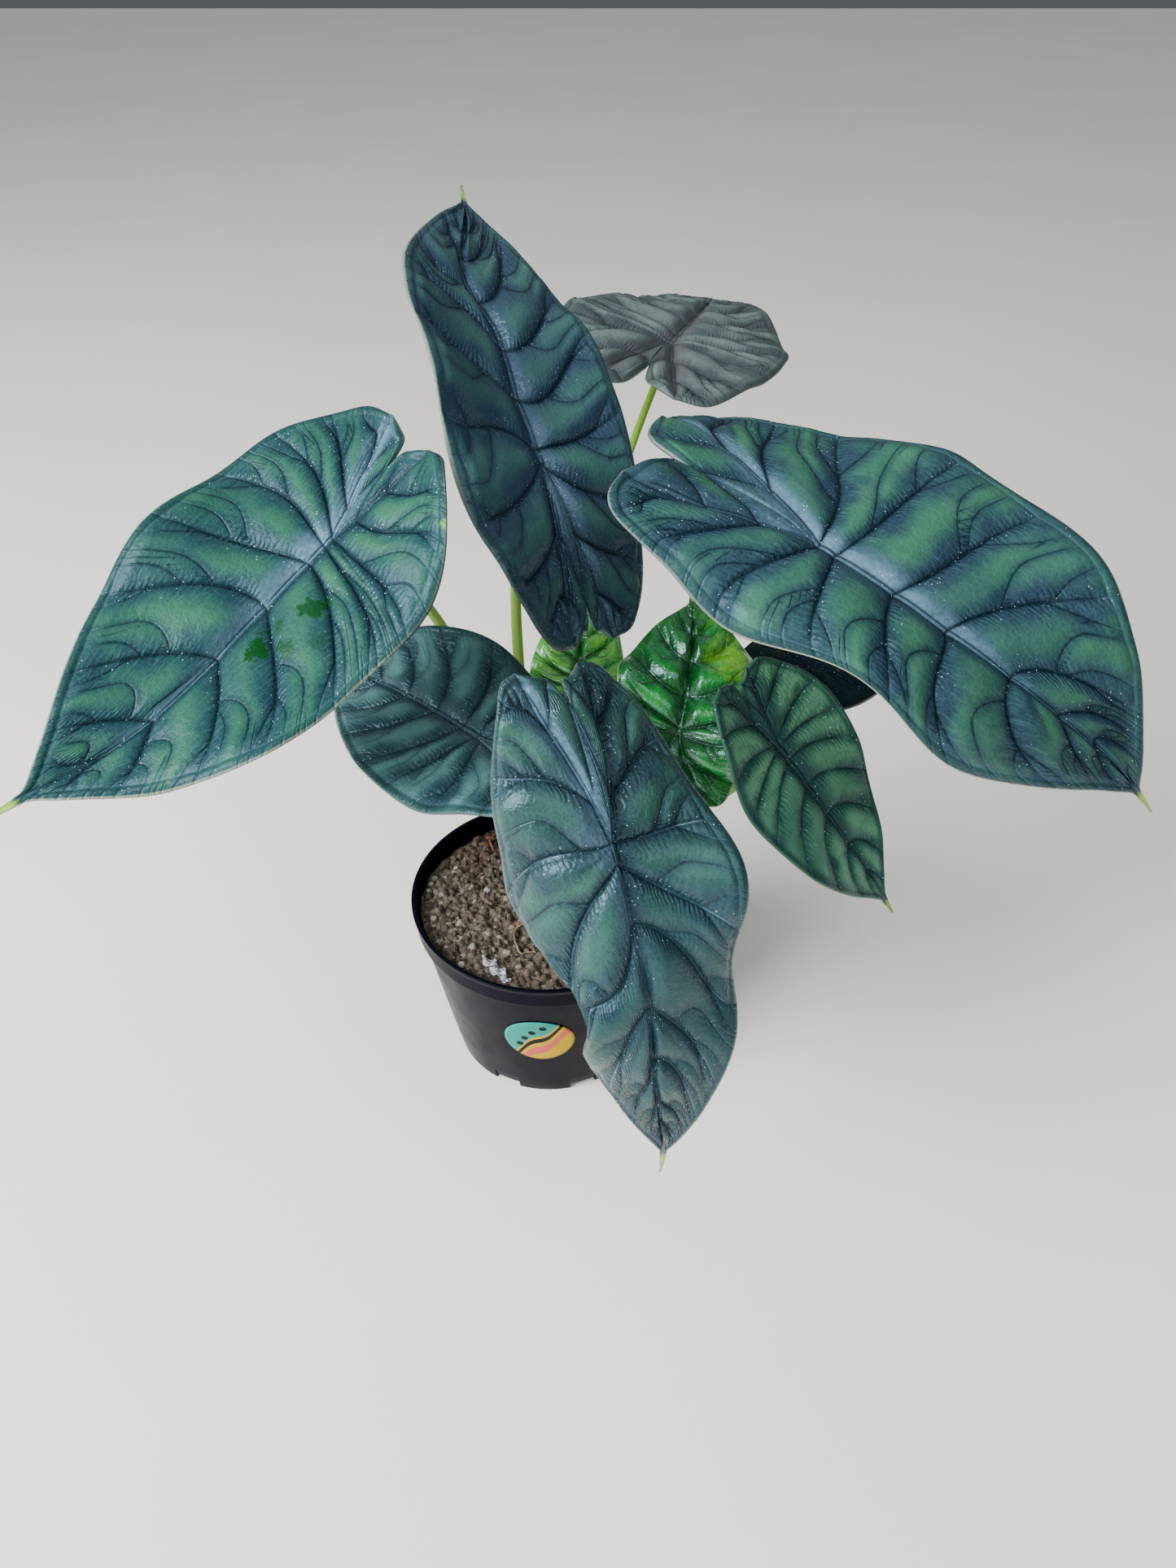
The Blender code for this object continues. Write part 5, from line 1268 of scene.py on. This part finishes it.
def stalk_path(name, leaf):
    """Straight up out of the crown, then a cubic curve past its middle point to the joint."""
    turn = math.radians(leaf["stands_at"])
    ring = YOUNG_RING if name.startswith("bright") else STALK_RING
    foot = np.array((ring * math.sin(turn), -ring * math.cos(turn), 0))
    up = leaf_axes(leaf)[2]
    end = stalk_end(name, leaf)
    base = foot + (0, 0, SOIL_LEVEL - STALK_DEPTH)
    start = foot + (0, 0, SOIL_LEVEL + CROWN_RISE + STRAIGHT)
    neck = end - up * NECK
    reach = np.linalg.norm(neck - start)
    straight = (neck - start) / reach
    arriving = (up + straight) / np.linalg.norm(up + straight)
    low = start + (0, 0, 0.35 * reach)
    high = neck - arriving * 0.22 * reach
    aside = np.array(leaf["middle"]) - (start + 3 * low + 3 * high + neck) / 8
    low, high = low + aside, high + aside * 5 / 3
    t = np.linspace(0, 1, 56)[:, None]
    bow = start * (1 - t) ** 3 + low * 3 * t * (1 - t) ** 2 + high * 3 * t * t * (1 - t) + neck * t ** 3
    return np.vstack([base, bow, end])


def stalk_surface(path, foot_radius, sides=22):
    """A tube that tapers to 0.55 and has shallow lengthwise ribs, with marks along and round it."""
    turn = np.linspace(0, 2 * math.pi, sides + 1)
    along = np.linspace(0, 1, len(path))
    radius = foot_radius * (1 - 0.45 * along[:, None]) * (1 + 0.018 * np.cos(7 * turn))
    marks = np.stack(np.broadcast_arrays(np.concatenate([[0], along, [1]])[:, None], turn[None]), 2)
    marks = np.concatenate([marks, np.zeros((*marks.shape[:2], 1))], 2).reshape(-1, 3)
    return tube_surface(path, radius, sides, marks)


stem = Finish("fleshy stalk", Roughness=0.36, Specular_IOR_Level=0.4, Subsurface_Weight=0.12,
              Subsurface_Scale=0.004)
along, turn, _, _ = stem.mark("stalk")
round_stalk = stem.add("ShaderNodeCombineXYZ", {0: stem.times(along, 6.0),
                       1: stem.times(stem.maths("COSINE", turn), 9.0),
                       2: stem.times(stem.maths("SINE", turn), 9.0)}).outputs[0]
streaks = stem.noise(1.6, 3.0, round_stalk)
green = stem.over(FOOT_GREEN, NECK_GREEN, stem.step(along, 0.05, 0.6))
stem.set("Base Color", stem.over(green, STREAK_GREEN, stem.step(streaks, -0.6, 0.9, 0.0, 0.4)))
stem.set("Normal", stem.bump(streaks, 0.00015, 0.6))
for name, leaf in LEAVES.items():
    points, triangles, marks = stalk_surface(stalk_path(name, leaf), leaf["stalk"])
    add_piece(f"stalk_{name}", points, triangles, stem.material, "leaf_stalk",
              f"leaf_{name}_stalk", stalk=marks)

# THE ROOM. A plain pale floor, soft studio light from the upper left, and the camera where the
# photograph was taken from: in front of the plant and above it, looking 38.9 degrees down.
FLOOR_HALF = 6
floor_mesh = bpy.data.meshes.new("floor")
floor_mesh.from_pydata([(x * FLOOR_HALF, y * FLOOR_HALF, 0) for x, y in ((-1, -1), (1, -1), (1, 1), (-1, 1))],
                       [], [(0, 1, 2, 3)])
floor = bpy.data.objects.new("floor", floor_mesh)
bpy.context.scene.collection.objects.link(floor)
paper = Finish("pale floor", Roughness=0.8)
paper.set("Base Color", paper.over((0.82, 0.79, 0.75), (0.85, 0.82, 0.78),
                                   paper.step(paper.noise(3.0), -1.0, 1.0)))
floor_mesh.materials.append(paper.material)


def soft_light(name, place, target, size, power, colour):
    """A square area light that faces its target."""
    lamp = bpy.data.lights.new(name, "AREA")
    lamp.size = size
    lamp.energy = power
    lamp.color = colour
    made = bpy.data.objects.new(name, lamp)
    made.location = place
    made.rotation_euler = (Vector(target) - Vector(place)).to_track_quat("-Z", "Y").to_euler()
    bpy.context.scene.collection.objects.link(made)


MIDDLE_OF_PLANT = (0, 0, 0.3)
soft_light("window", (-1.7, -1.0, 1.35), MIDDLE_OF_PLANT, 1.5, 168, (1.0, 0.99, 0.97))
soft_light("front", (0.5, -1.7, 2.1), MIDDLE_OF_PLANT, 2.2, 32, (1.0, 1.0, 1.0))
world = bpy.data.worlds.new("studio")
world.use_nodes = True
dome, shade = world.node_tree.nodes, world.node_tree.nodes["Background"]
aim = dome.new("ShaderNodeSeparateXYZ")
ceiling = dome.new("ShaderNodeMapRange")
ceiling.interpolation_type = "SMOOTHSTEP"
for socket, value in {"From Min": 0.1, "From Max": 0.9, "To Min": 0.11, "To Max": 0.58}.items():
    ceiling.inputs[socket].default_value = value
world.node_tree.links.new(dome.new("ShaderNodeTexCoord").outputs["Generated"], aim.inputs[0])
world.node_tree.links.new(aim.outputs["Z"], ceiling.inputs["Value"])
world.node_tree.links.new(ceiling.outputs[0], shade.inputs["Strength"])
shade.inputs["Color"].default_value = (0.88, 0.94, 1.0, 1.0)
bpy.context.scene.world = world

SENSOR_HEIGHT = 36.0
PHOTO_HEIGHT_PIXELS = 1927
FOCAL_PIXELS = 1447
CAMERA_PLACE = (0.025, -0.532, 0.632)
LOOKING_DOWN = 38.9
camera_lens = bpy.data.cameras.new("camera")
camera_lens.sensor_fit = "VERTICAL"
camera_lens.sensor_height = SENSOR_HEIGHT
camera_lens.lens = SENSOR_HEIGHT * FOCAL_PIXELS / PHOTO_HEIGHT_PIXELS
camera = bpy.data.objects.new("camera", camera_lens)
camera.location = CAMERA_PLACE
camera.rotation_euler = (math.radians(90 - LOOKING_DOWN), 0, 0)
bpy.context.scene.collection.objects.link(camera)
bpy.context.scene.camera = camera
